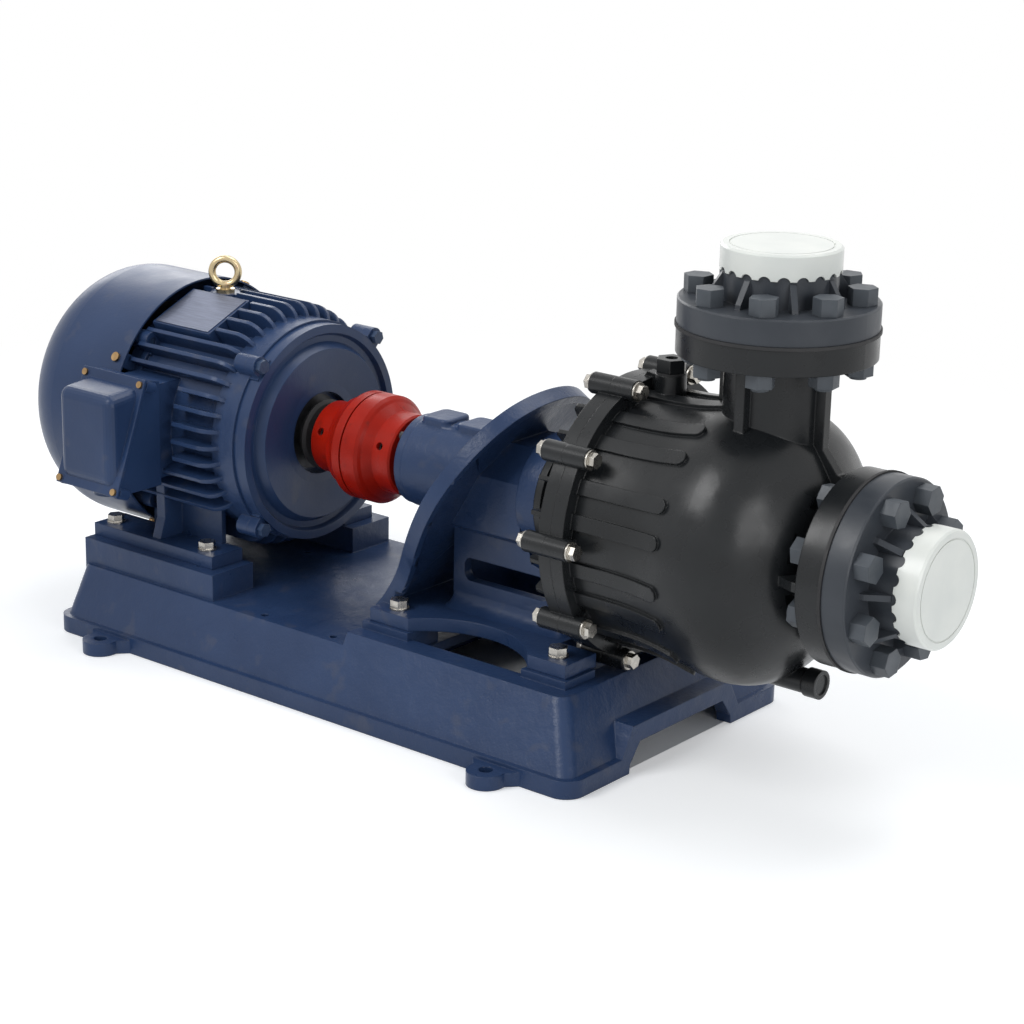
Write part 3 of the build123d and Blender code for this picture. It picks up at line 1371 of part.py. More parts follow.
def make_casing():
    """Self-priming casing: clamp ring, ribs, dome, both ports and the plug bosses."""
    ring_front = seam_x + ring_thickness
    outer = casing_body(0, ring_front - 4, 0)
    outer += rod(ring_radius, seam_x, ring_front)
    for angle in clamp_angles():
        boss = rod(clamp_boss_radius, seam_x, seam_x + clamp_boss_length, 0, shaft_height + clamp_circle)
        boss += block(seam_x, seam_x + clamp_boss_length - 6, -6, 6, shaft_height + casing_neck_radius - 6,
                      shaft_height + clamp_circle)
        outer += about_shaft(boss, angle)
    grown = casing_body(-rib_height, ring_front - 2, 0)
    ribs = []
    for angle in clamp_angles():
        for offset in (-rib_spread, rib_spread):
            ribs.append(grown & casing_rib(angle + 180.0 / clamp_count + offset))
    outer = outer.fuse(*[rib.solid() for rib in ribs])
    # Suction neck and flange with four gussets
    flange_back = suction_joint - gasket_thickness / 2 - flange_thickness
    outer += rod(suction_neck_radius, casing_dome_end - 12, flange_back + 1)
    outer += at_suction(port_flange())
    gusset_outline = make_face(
        Polyline((casing_dome_end - 40, 40), (casing_dome_end - 30, 74), (flange_back - 8, 86), (flange_back + 1, 86),
                 (flange_back + 1, 40), close=True))
    for angle in (0, 90, 180, 270):
        gusset = extrude(section_plane() * gusset_outline, port_gusset_thickness / 2, both=True)
        outer += about_shaft(gusset, angle)
    # Discharge neck and flange with four upright ribs
    flange_low = discharge_joint - gasket_thickness / 2 - flange_thickness
    neck_root = shaft_height + casing_bulge_radius - 40
    outer += post(discharge_neck_radius, neck_root, flange_low + 1, discharge_x, 0)
    outer += at_discharge(port_flange())
    reach = discharge_neck_radius + neck_rib_reach
    for turn in (0, 90):
        rib = Pos(discharge_x, 0, (neck_root + flange_low) / 2) * Rot(0, 0, turn) * Box(
            2 * reach, neck_rib_thickness, flange_low - neck_root + 2)
        outer += rib
    brace = make_face(
        Polyline((discharge_x + 40, flange_low + 1), (discharge_x + reach, flange_low + 1),
                 (discharge_x + reach, shaft_height + 104), (casing_dome_end - 6, shaft_height + 84),
                 (flange_back + 1, shaft_height + 80), (flange_back + 1, shaft_height + 40),
                 (discharge_x + 40, shaft_height + 40), close=True))
    brace_plane = Plane(origin=(0, 0, 0), x_dir=(1, 0, 0), z_dir=(0, -1, 0))
    outer += extrude(brace_plane * brace, neck_rib_thickness / 2, both=True)
    # Filler boss with its web to the clamp ring
    outer += post(filler_boss_radius, shaft_height + 110, filler_seat, filler_x, 0)
    web_plane = Plane(origin=(0, 0, 0), x_dir=(1, 0, 0), z_dir=(0, -1, 0))
    web = make_face(
        Polyline((seam_x + 2, shaft_height + ring_radius - 4), (seam_x + 8, shaft_height + ring_radius + 5),
                 (filler_x - 10, filler_seat - 3), (filler_x, filler_seat - 4), (filler_x, shaft_height + 115),
                 (seam_x + 2, shaft_height + 115), close=True))
    outer += extrude(web_plane * web, 5, both=True)
    outer += rod(drain_boss_radius, casing_bulge_x, drain_seat, 0, drain_height)
    # Inside: the open chamber, the suction chamber with its flap seat and the bores
    cavity = casing_body(casing_wall, seam_x - 1, 0)
    chamber_wall = rod(chamber_radius + 7, chamber_start, casing_dome_end)
    cavity -= chamber_wall
    casing = outer - cavity
    casing -= rod(chamber_radius, chamber_start - 1, flap_seat_x())
    casing -= rod(port_radius, flap_seat_x() - 1, suction_joint + 1)
    casing -= post(port_radius, shaft_height + 100, discharge_joint + 1, discharge_x, 0)
    casing -= rod(seal_groove_radius, seam_x - 1, seam_x + seal_groove_depth)
    for location in PolarLocations(bolt_circle, bolt_count, 180.0 / bolt_count):
        spot = location * post(spot_face_radius, -flange_front - 22, -flange_front)
        casing -= at_suction(spot)
        casing -= at_discharge(spot)
    casing -= post(plug_radius + plug_clearance, shaft_height + 100, filler_seat + 1, filler_x, 0)
    casing -= rod(plug_radius - 3 + plug_clearance, casing_bulge_x, drain_seat + 1, 0, drain_height)
    for angle in clamp_angles():
        hole = rod(clamp_bolt_radius + 0.5, seam_x - 1, seam_x + clamp_boss_length + 1, 0,
                   shaft_height + clamp_circle)
        casing -= about_shaft(hole, angle)
    for solid in flap_ears():
        casing += solid
    return casing


def flap_seat_x():
    """The flap's seat, a step inside the suction neck."""
    return casing_dome_end - 8


def flap_ears():
    """Two ears in the suction chamber that carry the flap's pin."""
    x = flap_seat_x() - flap_pivot_offset
    ears = []
    for sign in (-1, 1):
        ear = block(x - 5, x + flap_pivot_offset + 1, sign * 15, sign * 20, shaft_height + 40, shaft_height + chamber_radius + 1)
        ears.append(ear - cross_pin(flap_pin_radius, -30, 30, x, shaft_height + flap_pivot_height))
    return ears


def make_flap_pin():
    return cross_pin(flap_pin_radius, -20, 20, flap_seat_x() - flap_pivot_offset, shaft_height + flap_pivot_height)


def make_flap():
    """Suction flap: a disc on its pin. The weight behind it swings it shut on the seat."""
    face = flap_seat_x() - flap_gap
    flap = rod(flap_radius, face - flap_thickness, face)
    arm_x = flap_seat_x() - flap_pivot_offset
    flap &= block(face - 20, face + 1, -60, 60, shaft_height - 60, shaft_height + flap_pivot_height - 6)
    for notch in both_sides(block(face - 20, face + 1, -21, -14, shaft_height + flap_pivot_height - 11,
                                  shaft_height + flap_pivot_height)):
        flap -= notch
    weight_back = face - flap_thickness - flap_weight
    weight = rod(flap_weight_radius, weight_back, face - 1)
    arm = block(arm_x - 8, face - 1, -12, 12, shaft_height + 12, shaft_height + flap_pivot_height)
    knuckle = cross_pin(5.5, -14.9, 14.9, arm_x, shaft_height + flap_pivot_height)
    flap = flap + weight + arm + knuckle
    return flap - cross_pin(flap_pin_radius + running_gap, -20, 20, arm_x, shaft_height + flap_pivot_height)


def make_casing_seal():
    """O-ring between the rear cover's spigot and the casing."""
    front = seam_x + seal_groove_depth
    outer = seal_groove_radius
    return turned([(seam_x, outer - 4), (seam_x, outer), (front, outer), (front, outer - 4)])


def make_clamp_bolts():
    """Stainless bolts of the clamp ring, with a washer under each head."""
    bolts = []
    seat = seam_x + clamp_boss_length
    tail = seam_x - clamp_boss_length
    for angle in clamp_angles():
        z = shaft_height + clamp_circle
        bolt = rod(clamp_boss_radius - 1, seat, seat + washer_thickness, 0, z)
        bolt += hex_x(clamp_bolt_flats, seat + washer_thickness, seat + washer_thickness + clamp_bolt_head, 0, z)
        bolt += rod(clamp_bolt_radius, tail - 9, seat, 0, z)
        bolts.append(about_shaft(bolt, angle))
    return bolts


def make_clamp_nuts():
    """Nuts with washers behind the clamp ring."""
    nuts = []
    tail = seam_x - clamp_boss_length
    for angle in clamp_angles():
        z = shaft_height + clamp_circle
        nut = rod(clamp_boss_radius - 1, tail - washer_thickness, tail, 0, z)
        nut += hex_x(clamp_bolt_flats, tail - washer_thickness - 6, tail - washer_thickness, 0, z)
        nut -= rod(clamp_bolt_radius, tail - 20, tail + 1, 0, z)
        nuts.append(about_shaft(nut, angle))
    return nuts


# Port pieces, each drawn once along +Z and placed on both ports


def socket_flange():
    """Flanged pipe socket with gussets."""
    base = gasket_thickness / 2
    body = turned_upright([(port_radius, base), (flange_radius, base), (flange_radius, flange_front - 1.5),
                           (flange_radius - 1.5, flange_front), (hub_radius, flange_front), (hub_radius, hub_tip),
                           (socket_radius, hub_tip), (socket_radius, hub_tip - socket_depth),
                           (port_radius, hub_tip - socket_depth)])
    for index in range(bolt_count):
        outline = make_face(
            Polyline((hub_radius - 2, flange_front - 1), (hub_radius + gusset_reach, flange_front - 1),
                     (hub_radius + gusset_reach - 1, flange_front + 4), (hub_radius + 1, flange_front + gusset_length),
                     (hub_radius - 2, flange_front + gusset_length), close=True))
        gusset = extrude(Plane.XZ * outline, gusset_thickness / 2, both=True)
        body += Rot(0, 0, 360.0 * index / bolt_count) * gusset
    for location in PolarLocations(bolt_circle, bolt_count, 180.0 / bolt_count):
        body -= location * Cylinder(bolt_hole_radius, 4 * flange_thickness)
    return body


def gasket():
    """Rubber ring gasket that stands a little proud of both flanges."""
    disc = Cylinder(flange_radius + gasket_lip, gasket_thickness) - Cylinder(port_radius, gasket_thickness + 2)
    for location in PolarLocations(bolt_circle, bolt_count, 180.0 / bolt_count):
        disc -= location * Cylinder(bolt_hole_radius, gasket_thickness + 2)
    return disc


def port_bolts():
    """Hexagon bolts, head outwards."""
    bolts = []
    tail = -flange_front - port_nut_height - port_bolt_tail
    for location in PolarLocations(bolt_circle, bolt_count, 180.0 / bolt_count):
        bolt = hex_z(bolt_flats, flange_front, flange_front + bolt_head) + post(bolt_radius, tail, flange_front)
        bolts.append(location * bolt)
    return bolts


def port_nuts():
    """Hexagon nuts behind the casing's flange."""
    nuts = []
    for location in PolarLocations(bolt_circle, bolt_count, 180.0 / bolt_count):
        nut = hex_z(bolt_flats, -flange_front - port_nut_height, -flange_front)
        nut -= post(bolt_radius, -flange_front - port_nut_height - 1, -flange_front + 1)
        nuts.append(location * nut)
    return nuts


def port_cap():
    """White push-on cap with a scalloped skirt."""
    inner = hub_radius + cap_clearance
    low = hub_tip - cap_skirt
    top = hub_tip + cap_thickness
    cap = turned_upright([(0, hub_tip), (inner, hub_tip), (inner, low), (cap_radius, low),
                          (cap_radius, top - 2), (cap_radius - 2, top), (cap_line_radius + cap_line_width, top),
                          (cap_line_radius + cap_line_width, top - cap_line_depth),
                          (cap_line_radius, top - cap_line_depth), (cap_line_radius, top), (0, top)])
    for index in range(scallop_count):
        bite = Pos(cap_radius, 0, low - 2) * Rot(0, 90, 0) * Cylinder(scallop_radius, 12)
        cap -= Rot(0, 0, 360.0 * index / scallop_count) * bite
    return cap


# Plugs


def make_filler_plug():
    """Hexagon plug with a round shank, over its sealing ring."""
    seat = filler_seat + plug_ring_thickness
    plug = hex_z(filler_flats, seat, seat + filler_head, filler_x, 0)
    plug = plug + post(plug_radius, seat - plug_length, seat, filler_x, 0)
    recess = Pos(filler_x, 0, seat + filler_head - 3) * extrude(Circle(6), 4)
    return plug - recess


def make_filler_ring():
    return post(filler_boss_radius - 1, filler_seat, filler_seat + plug_ring_thickness, filler_x, 0) - post(
        plug_radius + plug_clearance, filler_seat - 1, filler_seat + 5, filler_x, 0)


def make_drain_plug():
    """Round drain plug with a dished face."""
    seat = drain_seat + plug_ring_thickness
    plug = rod(drain_cap_radius, seat, seat + drain_cap, 0, drain_height)
    plug += rod(plug_radius - 3, seat - plug_length, seat, 0, drain_height)
    plug -= rod(drain_cap_radius - 4, seat + drain_cap - 1.5, seat + drain_cap + 1, 0, drain_height)
    return plug


def make_drain_ring():
    return rod(drain_boss_radius - 0.5, drain_seat, drain_seat + plug_ring_thickness, 0, drain_height) - rod(
        plug_radius - 3 + plug_clearance, drain_seat - 1, drain_seat + 5, 0, drain_height)


save("baseplate", make_baseplate())
save("motor_frame", make_motor_frame())
save("motor_front_shield", make_front_shield())
save("motor_rear_shield", make_rear_shield())
save("shield_bolts", *make_shield_bolts())
save("fan_cowl", make_cowl())
save("cowl_screws", *make_cowl_screws())
save("lifting_eye", make_eyebolt())
save("nameplate", make_nameplate())
save("terminal_box", make_terminal_box())
save("terminal_cover", make_terminal_cover())
save("terminal_cover_screws", *make_cover_screws())
save("terminal_block", make_terminal_block())
save("stator_core", make_stator_core())
save("stator_windings", *make_windings())
save("motor_shaft", make_motor_shaft())
save("rotor_core", make_rotor_core())
motor_front_rings = make_bearing_rings(motor_bearing_front, bearing_width, bearing_outer, motor_seat_radius)
motor_rear_rings = make_bearing_rings(motor_bearing_rear + bearing_width, bearing_width, bearing_outer,
                                      motor_seat_radius)
save("motor_bearing_outers", motor_front_rings[0], motor_rear_rings[0])
save("motor_bearing_inners", motor_front_rings[1], motor_rear_rings[1])
save("cooling_fan", make_fan())
save("v_ring", make_v_ring())
save("motor_foot_bolts", *make_motor_foot_bolts())
save("coupling_motor_half", make_coupling_motor_half())
save("coupling_pump_half", make_coupling_pump_half())
save("coupling_star", make_coupling_star())
motor_set_screw, pump_set_screw = make_set_screws()
save("motor_set_screw", motor_set_screw)
save("pump_set_screw", pump_set_screw)
save("bearing_bracket", make_bracket())
save("bearing_end_cover", make_end_cover())
save("bearing_cover_bolts", *make_end_cover_bolts())
save("bracket_foot_bolts", *make_bracket_foot_bolts())
save("pump_shaft", make_pump_shaft())
save("shaft_sleeve", make_shaft_sleeve())
pump_rear_rings = make_bearing_rings(pump_bearing_positions[0] + pump_bearing_width, pump_bearing_width,
                                     pump_bearing_outer, pump_shaft_radius)
pump_front_rings = make_bearing_rings(pump_bearing_positions[1] + pump_bearing_width, pump_bearing_width,
                                      pump_bearing_outer, pump_shaft_radius)
save("pump_bearing_outers", pump_rear_rings[0], pump_front_rings[0])
save("pump_bearing_inners", pump_rear_rings[1], pump_front_rings[1])
save("oil_seals", *make_oil_seals())
save("seal_seat", make_seal_seat())
save("seal_bellows_ring", make_seal_ring())
save("impeller", make_impeller())
save("impeller_nut", make_impeller_nut())
save("rear_cover", make_rear_cover())
save("rear_cover_bolts", *make_cover_bolts())
save("volute", make_volute())
save("pump_casing", make_casing())
save("casing_seal", make_casing_seal())
save("clamp_bolts", *make_clamp_bolts())
save("clamp_nuts", *make_clamp_nuts())
save("suction_flap", make_flap())
save("flap_pin", make_flap_pin())
save("suction_socket_flange", at_suction(socket_flange()))
save("discharge_socket_flange", at_discharge(socket_flange()))
save("flange_gaskets", at_suction(gasket()), at_discharge(gasket()))
save("flange_bolts", *[at_suction(bolt) for bolt in port_bolts()], *[at_discharge(bolt) for bolt in port_bolts()])
save("flange_nuts", *[at_suction(nut) for nut in port_nuts()], *[at_discharge(nut) for nut in port_nuts()])
save("suction_cap", at_suction(port_cap()))
save("discharge_cap", at_discharge(port_cap()))
save("filler_plug", make_filler_plug())
save("filler_ring", make_filler_ring())
save("drain_plug", make_drain_plug())
save("drain_ring", make_drain_ring())
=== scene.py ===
import json
import math
import bmesh
import bpy
from mathutils import Matrix, Vector


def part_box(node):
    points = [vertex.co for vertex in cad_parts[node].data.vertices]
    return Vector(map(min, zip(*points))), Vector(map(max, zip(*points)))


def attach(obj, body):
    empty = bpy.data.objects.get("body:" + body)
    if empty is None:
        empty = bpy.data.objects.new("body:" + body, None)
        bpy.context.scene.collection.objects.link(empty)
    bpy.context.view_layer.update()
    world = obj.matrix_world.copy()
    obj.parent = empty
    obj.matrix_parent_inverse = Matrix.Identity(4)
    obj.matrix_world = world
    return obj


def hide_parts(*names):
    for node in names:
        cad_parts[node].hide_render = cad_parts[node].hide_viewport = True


# Looks of a chemical pump set: painted castings, red coupling, black casing, grey flanges, white caps
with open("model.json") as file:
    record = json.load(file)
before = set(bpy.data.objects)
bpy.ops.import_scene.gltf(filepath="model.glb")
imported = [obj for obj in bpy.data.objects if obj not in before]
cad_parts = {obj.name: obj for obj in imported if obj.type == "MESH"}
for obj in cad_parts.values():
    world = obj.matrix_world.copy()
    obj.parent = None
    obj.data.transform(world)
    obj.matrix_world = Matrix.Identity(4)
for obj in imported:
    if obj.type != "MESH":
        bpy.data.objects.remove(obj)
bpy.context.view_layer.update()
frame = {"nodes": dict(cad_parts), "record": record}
nodes = frame["nodes"]
print("stage frame: nodes", len(nodes))

# What all finishes share: how far each noise is stretched to full range, and how fine it is
grain = {
    "span": (0.3, 0.7), "spotSpan": (0.62, 0.72), "broadDetail": 3, "spotDetail": 2, "glossDetail": 4,
    "reliefDetail": 3, "waveDetail": 2, "edgeSamples": 4,
}
# Where the nodes stand in the editor, from the left and from the top
column = {"mapping": -1100, "noise": -900, "range": -700, "mix": -450, "spots": -250}
row = {"spots": 650, "colour": 300, "gloss": -50, "relief": -400, "waves": -750, "edge": -950}


# Linear colour from display values
def linear(r, g, b):
    def one(value):
        share = value / 255
        return share / 12.92 if share <= 0.04045 else ((share + 0.055) / 1.055) ** 2.4
    return (one(r), one(g), one(b), 1)


# Links a socket to an input, or sets a plain value there
def feed(tree, value, target):
    if isinstance(value, bpy.types.NodeSocket):
        tree.links.new(value, target)
    else:
        target.default_value = value


# Mix of two colours
def mixOf(tree, factor, first, second, place):
    node = tree.nodes.new("ShaderNodeMix")
    node.data_type = "RGBA"
    node.location = place
    for index, value in ((0, factor), (6, first), (7, second)):
        feed(tree, value, node.inputs[index])
    return node.outputs[2]


# One step of arithmetic
def mathOf(tree, operation, *values):
    node = tree.nodes.new("ShaderNodeMath")
    node.operation = operation
    for index, value in enumerate(values):
        feed(tree, value, node.inputs[index])
    return node.outputs["Value"]


# Noise in object space, stretched where asked
def noiseOf(tree, coords, scale, detail, level, stretch=None):
    source = coords
    if stretch:
        mapping = tree.nodes.new("ShaderNodeMapping")
        mapping.location = (column["mapping"], level)
        mapping.inputs["Scale"].default_value = stretch
        tree.links.new(coords, mapping.inputs["Vector"])
        source = mapping.outputs["Vector"]
    noise = tree.nodes.new("ShaderNodeTexNoise")
    noise.location = (column["noise"], level)
    noise.inputs["Scale"].default_value = scale
    noise.inputs["Detail"].default_value = detail
    tree.links.new(source, noise.inputs["Vector"])
    return noise.outputs["Fac"]


# Maps a span of a noise to a new range
def rangeOf(tree, value, span, low, high, level):
    node = tree.nodes.new("ShaderNodeMapRange")
    node.location = (column["range"], level)
    node.inputs["From Min"].default_value = span[0]
    node.inputs["From Max"].default_value = span[1]
    node.inputs["To Min"].default_value = low
    node.inputs["To Max"].default_value = high
    tree.links.new(value, node.inputs["Value"])
    return node.outputs["Result"]


# Bump over the normal that comes in, if there is one
def bumpOf(tree, height, strength, depth, normal, level):
    node = tree.nodes.new("ShaderNodeBump")
    node.location = (column["mix"], level)
    node.inputs["Strength"].default_value = strength
    node.inputs["Distance"].default_value = depth
    tree.links.new(height, node.inputs["Height"])
    if normal:
        tree.links.new(normal, node.inputs["Normal"])
    return node.outputs["Normal"]


# Two close colours over broad noise, uneven gloss, fine relief
def surface(name, look):
    material = bpy.data.materials.new(name)
    material.use_nodes = True
    tree = material.node_tree
    shader = tree.nodes["Principled BSDF"]
    coords = tree.nodes.new("ShaderNodeTexCoord").outputs["Object"]
    stretch = look.get("stretch")
    broad = noiseOf(tree, coords, look["broadScale"], grain["broadDetail"], row["colour"], stretch)
    share = rangeOf(tree, broad, grain["span"], 0, 1, row["colour"])
    colour = mixOf(tree, share, look["colour"], look["second"], (column["mix"], row["colour"]))
    if "speckle" in look:
        spots = noiseOf(tree, coords, look["speckleScale"], grain["spotDetail"], row["spots"])
        spotShare = rangeOf(tree, spots, grain["spotSpan"], 0, look["speckleShare"], row["spots"])
        colour = mixOf(tree, spotShare, colour, look["speckle"], (column["spots"], row["colour"]))
    tree.links.new(colour, shader.inputs["Base Color"])
    gloss = noiseOf(tree, coords, look["glossScale"], grain["glossDetail"], row["gloss"], stretch)
    rough = rangeOf(tree, gloss, grain["span"], look["rough"][0], look["rough"][1], row["gloss"])
    tree.links.new(rough, shader.inputs["Roughness"])
    shader.inputs["Metallic"].default_value = look.get("metal", 0)
    shader.inputs["Coat Weight"].default_value = look.get("coat", 0)
    shader.inputs["Coat Roughness"].default_value = look.get("coatRough", 0.2)
    shader.inputs["Specular IOR Level"].default_value = look.get("specular", 0.5)
    normal = None
    if "edge" in look:
        soft = tree.nodes.new("ShaderNodeBevel")
        soft.samples = grain["edgeSamples"]
        soft.location = (column["range"], row["edge"])
        soft.inputs["Radius"].default_value = look["edge"]
        normal = soft.outputs["Normal"]
    if "waveScale" in look:
        waves = noiseOf(tree, coords, look["waveScale"], grain["waveDetail"], row["waves"])
        normal = bumpOf(tree, waves, look["waveStrength"], look["waveDepth"], normal, row["waves"])
    relief = noiseOf(tree, coords, look["reliefScale"], grain["reliefDetail"], row["relief"], stretch)
    normal = bumpOf(tree, relief, look["reliefStrength"], look["reliefDepth"], normal, row["relief"])
    tree.links.new(normal, shader.inputs["Normal"])
    return material


# Each finish has the name of its slot in the record, in camelCase; lengths in metres
looks = {
    # Paint on rough castings, with thin reddish dust
    "bluePaint": {
        "colour": linear(34, 53, 86), "second": linear(42, 62, 97), "broadScale": 9, "glossScale": 30,
        "rough": (0.27, 0.42), "reliefScale": 420, "reliefStrength": 0.35, "reliefDepth": 0.0006,
        "waveScale": 60, "waveStrength": 0.45, "waveDepth": 0.0018, "coat": 0.03, "coatRough": 0.25,
        "specular": 0.28, "speckle": linear(74, 78, 92), "speckleScale": 35, "speckleShare": 0.35,
        "edge": 0.0018,
    },
    "redPaint": {
        "colour": linear(166, 26, 6), "second": linear(144, 20, 4), "broadScale": 30, "glossScale": 60,
        "rough": (0.26, 0.4), "reliefScale": 500, "reliefStrength": 0.25, "reliefDepth": 0.0005,
        "specular": 0.18, "speckle": linear(96, 26, 18), "speckleScale": 90, "speckleShare": 0.4,
        "edge": 0.001,
    },
    "blackPlastic": {
        "colour": linear(23, 25, 27), "second": linear(31, 33, 35), "broadScale": 12, "glossScale": 40,
        "rough": (0.22, 0.36), "reliefScale": 900, "reliefStrength": 0.12, "reliefDepth": 0.0003,
        "waveScale": 25, "waveStrength": 0.2, "waveDepth": 0.002, "edge": 0.0016, "specular": 0.32,
    },
    "greyPlastic": {
        "colour": linear(54, 58, 64), "second": linear(63, 67, 73), "broadScale": 20, "glossScale": 50,
        "rough": (0.28, 0.44), "reliefScale": 800, "reliefStrength": 0.12, "reliefDepth": 0.0003,
        "edge": 0.001, "specular": 0.3,
    },
    "boltPlastic": {
        "colour": linear(68, 73, 79), "second": linear(80, 85, 91), "broadScale": 40, "glossScale": 70,
        "rough": (0.34, 0.5), "reliefScale": 700, "reliefStrength": 0.15, "reliefDepth": 0.0003,
        "edge": 0.0012, "specular": 0.35,
    },
    "whitePlastic": {
        "colour": linear(230, 232, 226), "second": linear(221, 224, 219), "broadScale": 25,
        "glossScale": 40, "rough": (0.28, 0.4), "reliefScale": 300, "reliefStrength": 0.06,
        "reliefDepth": 0.0004, "coat": 0.2, "edge": 0.0008,
    },
    "brightSteel": {
        "colour": linear(176, 178, 180), "second": linear(150, 152, 155), "broadScale": 30,
        "glossScale": 120, "rough": (0.22, 0.38), "reliefScale": 300, "reliefStrength": 0.08,
        "reliefDepth": 0.0002, "metal": 1, "stretch": (14, 1, 1),
    },
    "darkSteel": {
        "colour": linear(52, 53, 56), "second": linear(70, 70, 72), "broadScale": 60, "glossScale": 90,
        "rough": (0.35, 0.5), "reliefScale": 400, "reliefStrength": 0.1, "reliefDepth": 0.0002,
        "metal": 0.8,
    },
    "stainless": {
        "colour": linear(196, 192, 184), "second": linear(160, 156, 150), "broadScale": 70,
        "glossScale": 140, "rough": (0.2, 0.36), "reliefScale": 500, "reliefStrength": 0.1,
        "reliefDepth": 0.0002, "metal": 1, "edge": 0.0006,
    },
    "brassScrews": {
        "colour": linear(176, 146, 104), "second": linear(146, 118, 84), "broadScale": 90,
        "glossScale": 150, "rough": (0.28, 0.42), "reliefScale": 600, "reliefStrength": 0.1,
        "reliefDepth": 0.0002, "metal": 1,
    },
    "yellowZinc": {
        "colour": linear(206, 190, 152), "second": linear(184, 166, 132), "broadScale": 60,
        "glossScale": 120, "rough": (0.24, 0.36), "reliefScale": 500, "reliefStrength": 0.1,
        "reliefDepth": 0.0002, "metal": 1, "speckle": linear(158, 118, 112), "speckleScale": 120,
        "speckleShare": 0.4,
    },
    "plateMetal": {
        "colour": linear(112, 118, 136), "second": linear(94, 100, 118), "broadScale": 40,
        "glossScale": 90, "rough": (0.3, 0.42), "reliefScale": 500, "reliefStrength": 0.1,
        "reliefDepth": 0.0002, "metal": 0.9, "stretch": (1, 18, 18),
    },
    "lamination": {
        "colour": linear(112, 112, 114), "second": linear(96, 96, 98), "broadScale": 30,
        "glossScale": 60, "rough": (0.4, 0.55), "reliefScale": 200, "reliefStrength": 0.3,
        "reliefDepth": 0.0004, "metal": 0.9, "stretch": (60, 1, 1),
    },
    "copperWindings": {
        "colour": linear(160, 84, 44), "second": linear(132, 62, 32), "broadScale": 80,
        "glossScale": 100, "rough": (0.25, 0.4), "reliefScale": 260, "reliefStrength": 0.5,
        "reliefDepth": 0.001, "metal": 0.7, "stretch": (1, 6, 6),
    },
    "fanPlastic": {
        "colour": linear(26, 27, 29), "second": linear(34, 35, 37), "broadScale": 30, "glossScale": 60,
        "rough": (0.45, 0.6), "reliefScale": 700, "reliefStrength": 0.15, "reliefDepth": 0.0003,
    },
    "blackRubber": {
        "colour": linear(22, 22, 24), "second": linear(30, 30, 32), "broadScale": 40, "glossScale": 80,
        "rough": (0.55, 0.75), "reliefScale": 600, "reliefStrength": 0.2, "reliefDepth": 0.0003,
    },
    "ceramic": {
        "colour": linear(224, 218, 204), "second": linear(210, 204, 190), "broadScale": 40,
        "glossScale": 80, "rough": (0.15, 0.25), "reliefScale": 500, "reliefStrength": 0.04,
        "reliefDepth": 0.0002,
    },
}
# Smoother paint on sheet and on machined shields
looks["sheetPaint"] = dict(looks["bluePaint"], reliefStrength=0.15, waveStrength=0.12, rough=(0.28, 0.4),
                           edge=0.0012)
looks["paintedBolts"] = dict(looks["bluePaint"], colour=linear(44, 62, 90), second=linear(56, 72, 98),
                             edge=0.0008)
materials = {name: surface(name, look) for name, look in looks.items()}


# The look that a slot of the record names
def lookOfSlot(slot):
    first, *others = slot.split("_")
    return first + "".join(word.capitalize() for word in others)


# Nodes with another look than their slot's. The motor's bearing rings get dark steel as painted shade:
# they show at the bottom of the shield's recess, which lies in shade.
ownLooks = {
    "fan_cowl": "sheetPaint", "terminal_cover": "sheetPaint", "terminal_box": "sheetPaint",
    # dark steel on the bearing rings is painted shade for the recess round the shaft
    "motor_front_shield": "sheetPaint", "motor_bearing_outers": "darkSteel",
    "motor_bearing_inners": "darkSteel",
}
slotOf = {part["node"]: part["material_slot"] for part in frame["record"]["subparts"]}
for name, node in nodes.items():
    look = ownLooks.get(name, lookOfSlot(slotOf[name]))
    node.data.materials.clear()
    node.data.materials.append(materials[look])
print("stage materials:", len(materials))

# The bracket is even about the shaft's upright plane: its far half is kept and mirrored to the near side.
# The two low lumps on its housing get soft tops. In metres, the sharp angle in degrees.
bracket = {
    "node": "bearing_bracket", "weld": 0.00002, "seam": 0.0001, "lumpTop": 0.28, "lumpHalf": 0.021,
    "lumpRound": 0.0032, "lumpSegments": 4, "sharp": 30,
}
bracketMesh = nodes[bracket["node"]].data.copy()
shape = bmesh.new()
shape.from_mesh(bracketMesh)
bmesh.ops.remove_doubles(shape, verts=shape.verts, dist=bracket["weld"])
bmesh.ops.bisect_plane(shape, geom=shape.verts[:] + shape.edges[:] + shape.faces[:], dist=bracket["weld"],
                       plane_co=(0, 0, 0), plane_no=(0, 1, 0), clear_inner=True)
bmesh.ops.mirror(shape, geom=shape.verts[:] + shape.edges[:] + shape.faces[:], matrix=Matrix.Identity(4),
                 merge_dist=bracket["seam"], axis="Y")
bmesh.ops.recalc_face_normals(shape, faces=shape.faces)
lumpEdges = []
for edge in shape.edges:
    level = all(abs(vert.co.z - bracket["lumpTop"]) < bracket["seam"] for vert in edge.verts)
    near = all(abs(vert.co.y) < bracket["lumpHalf"] for vert in edge.verts)
    if level and near and edge.calc_face_angle(0) > math.radians(bracket["sharp"]):
        lumpEdges.append(edge)
bmesh.ops.bevel(shape, geom=lumpEdges, offset=bracket["lumpRound"], affect="EDGES",
                segments=bracket["lumpSegments"], profile=0.5, material=-1)
openEdges = sum(1 for edge in shape.edges if len(edge.link_faces) != 2)
shape.to_mesh(bracketMesh)
shape.free()
bracketPiece = bpy.data.objects.new("castBracket", bracketMesh)
bpy.context.scene.collection.objects.link(bracketPiece)
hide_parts(bracket["node"])
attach(bracketPiece, "pump_unit")
print("stage bracket: softened edges", len(lumpEdges), "open edges", openEdges)

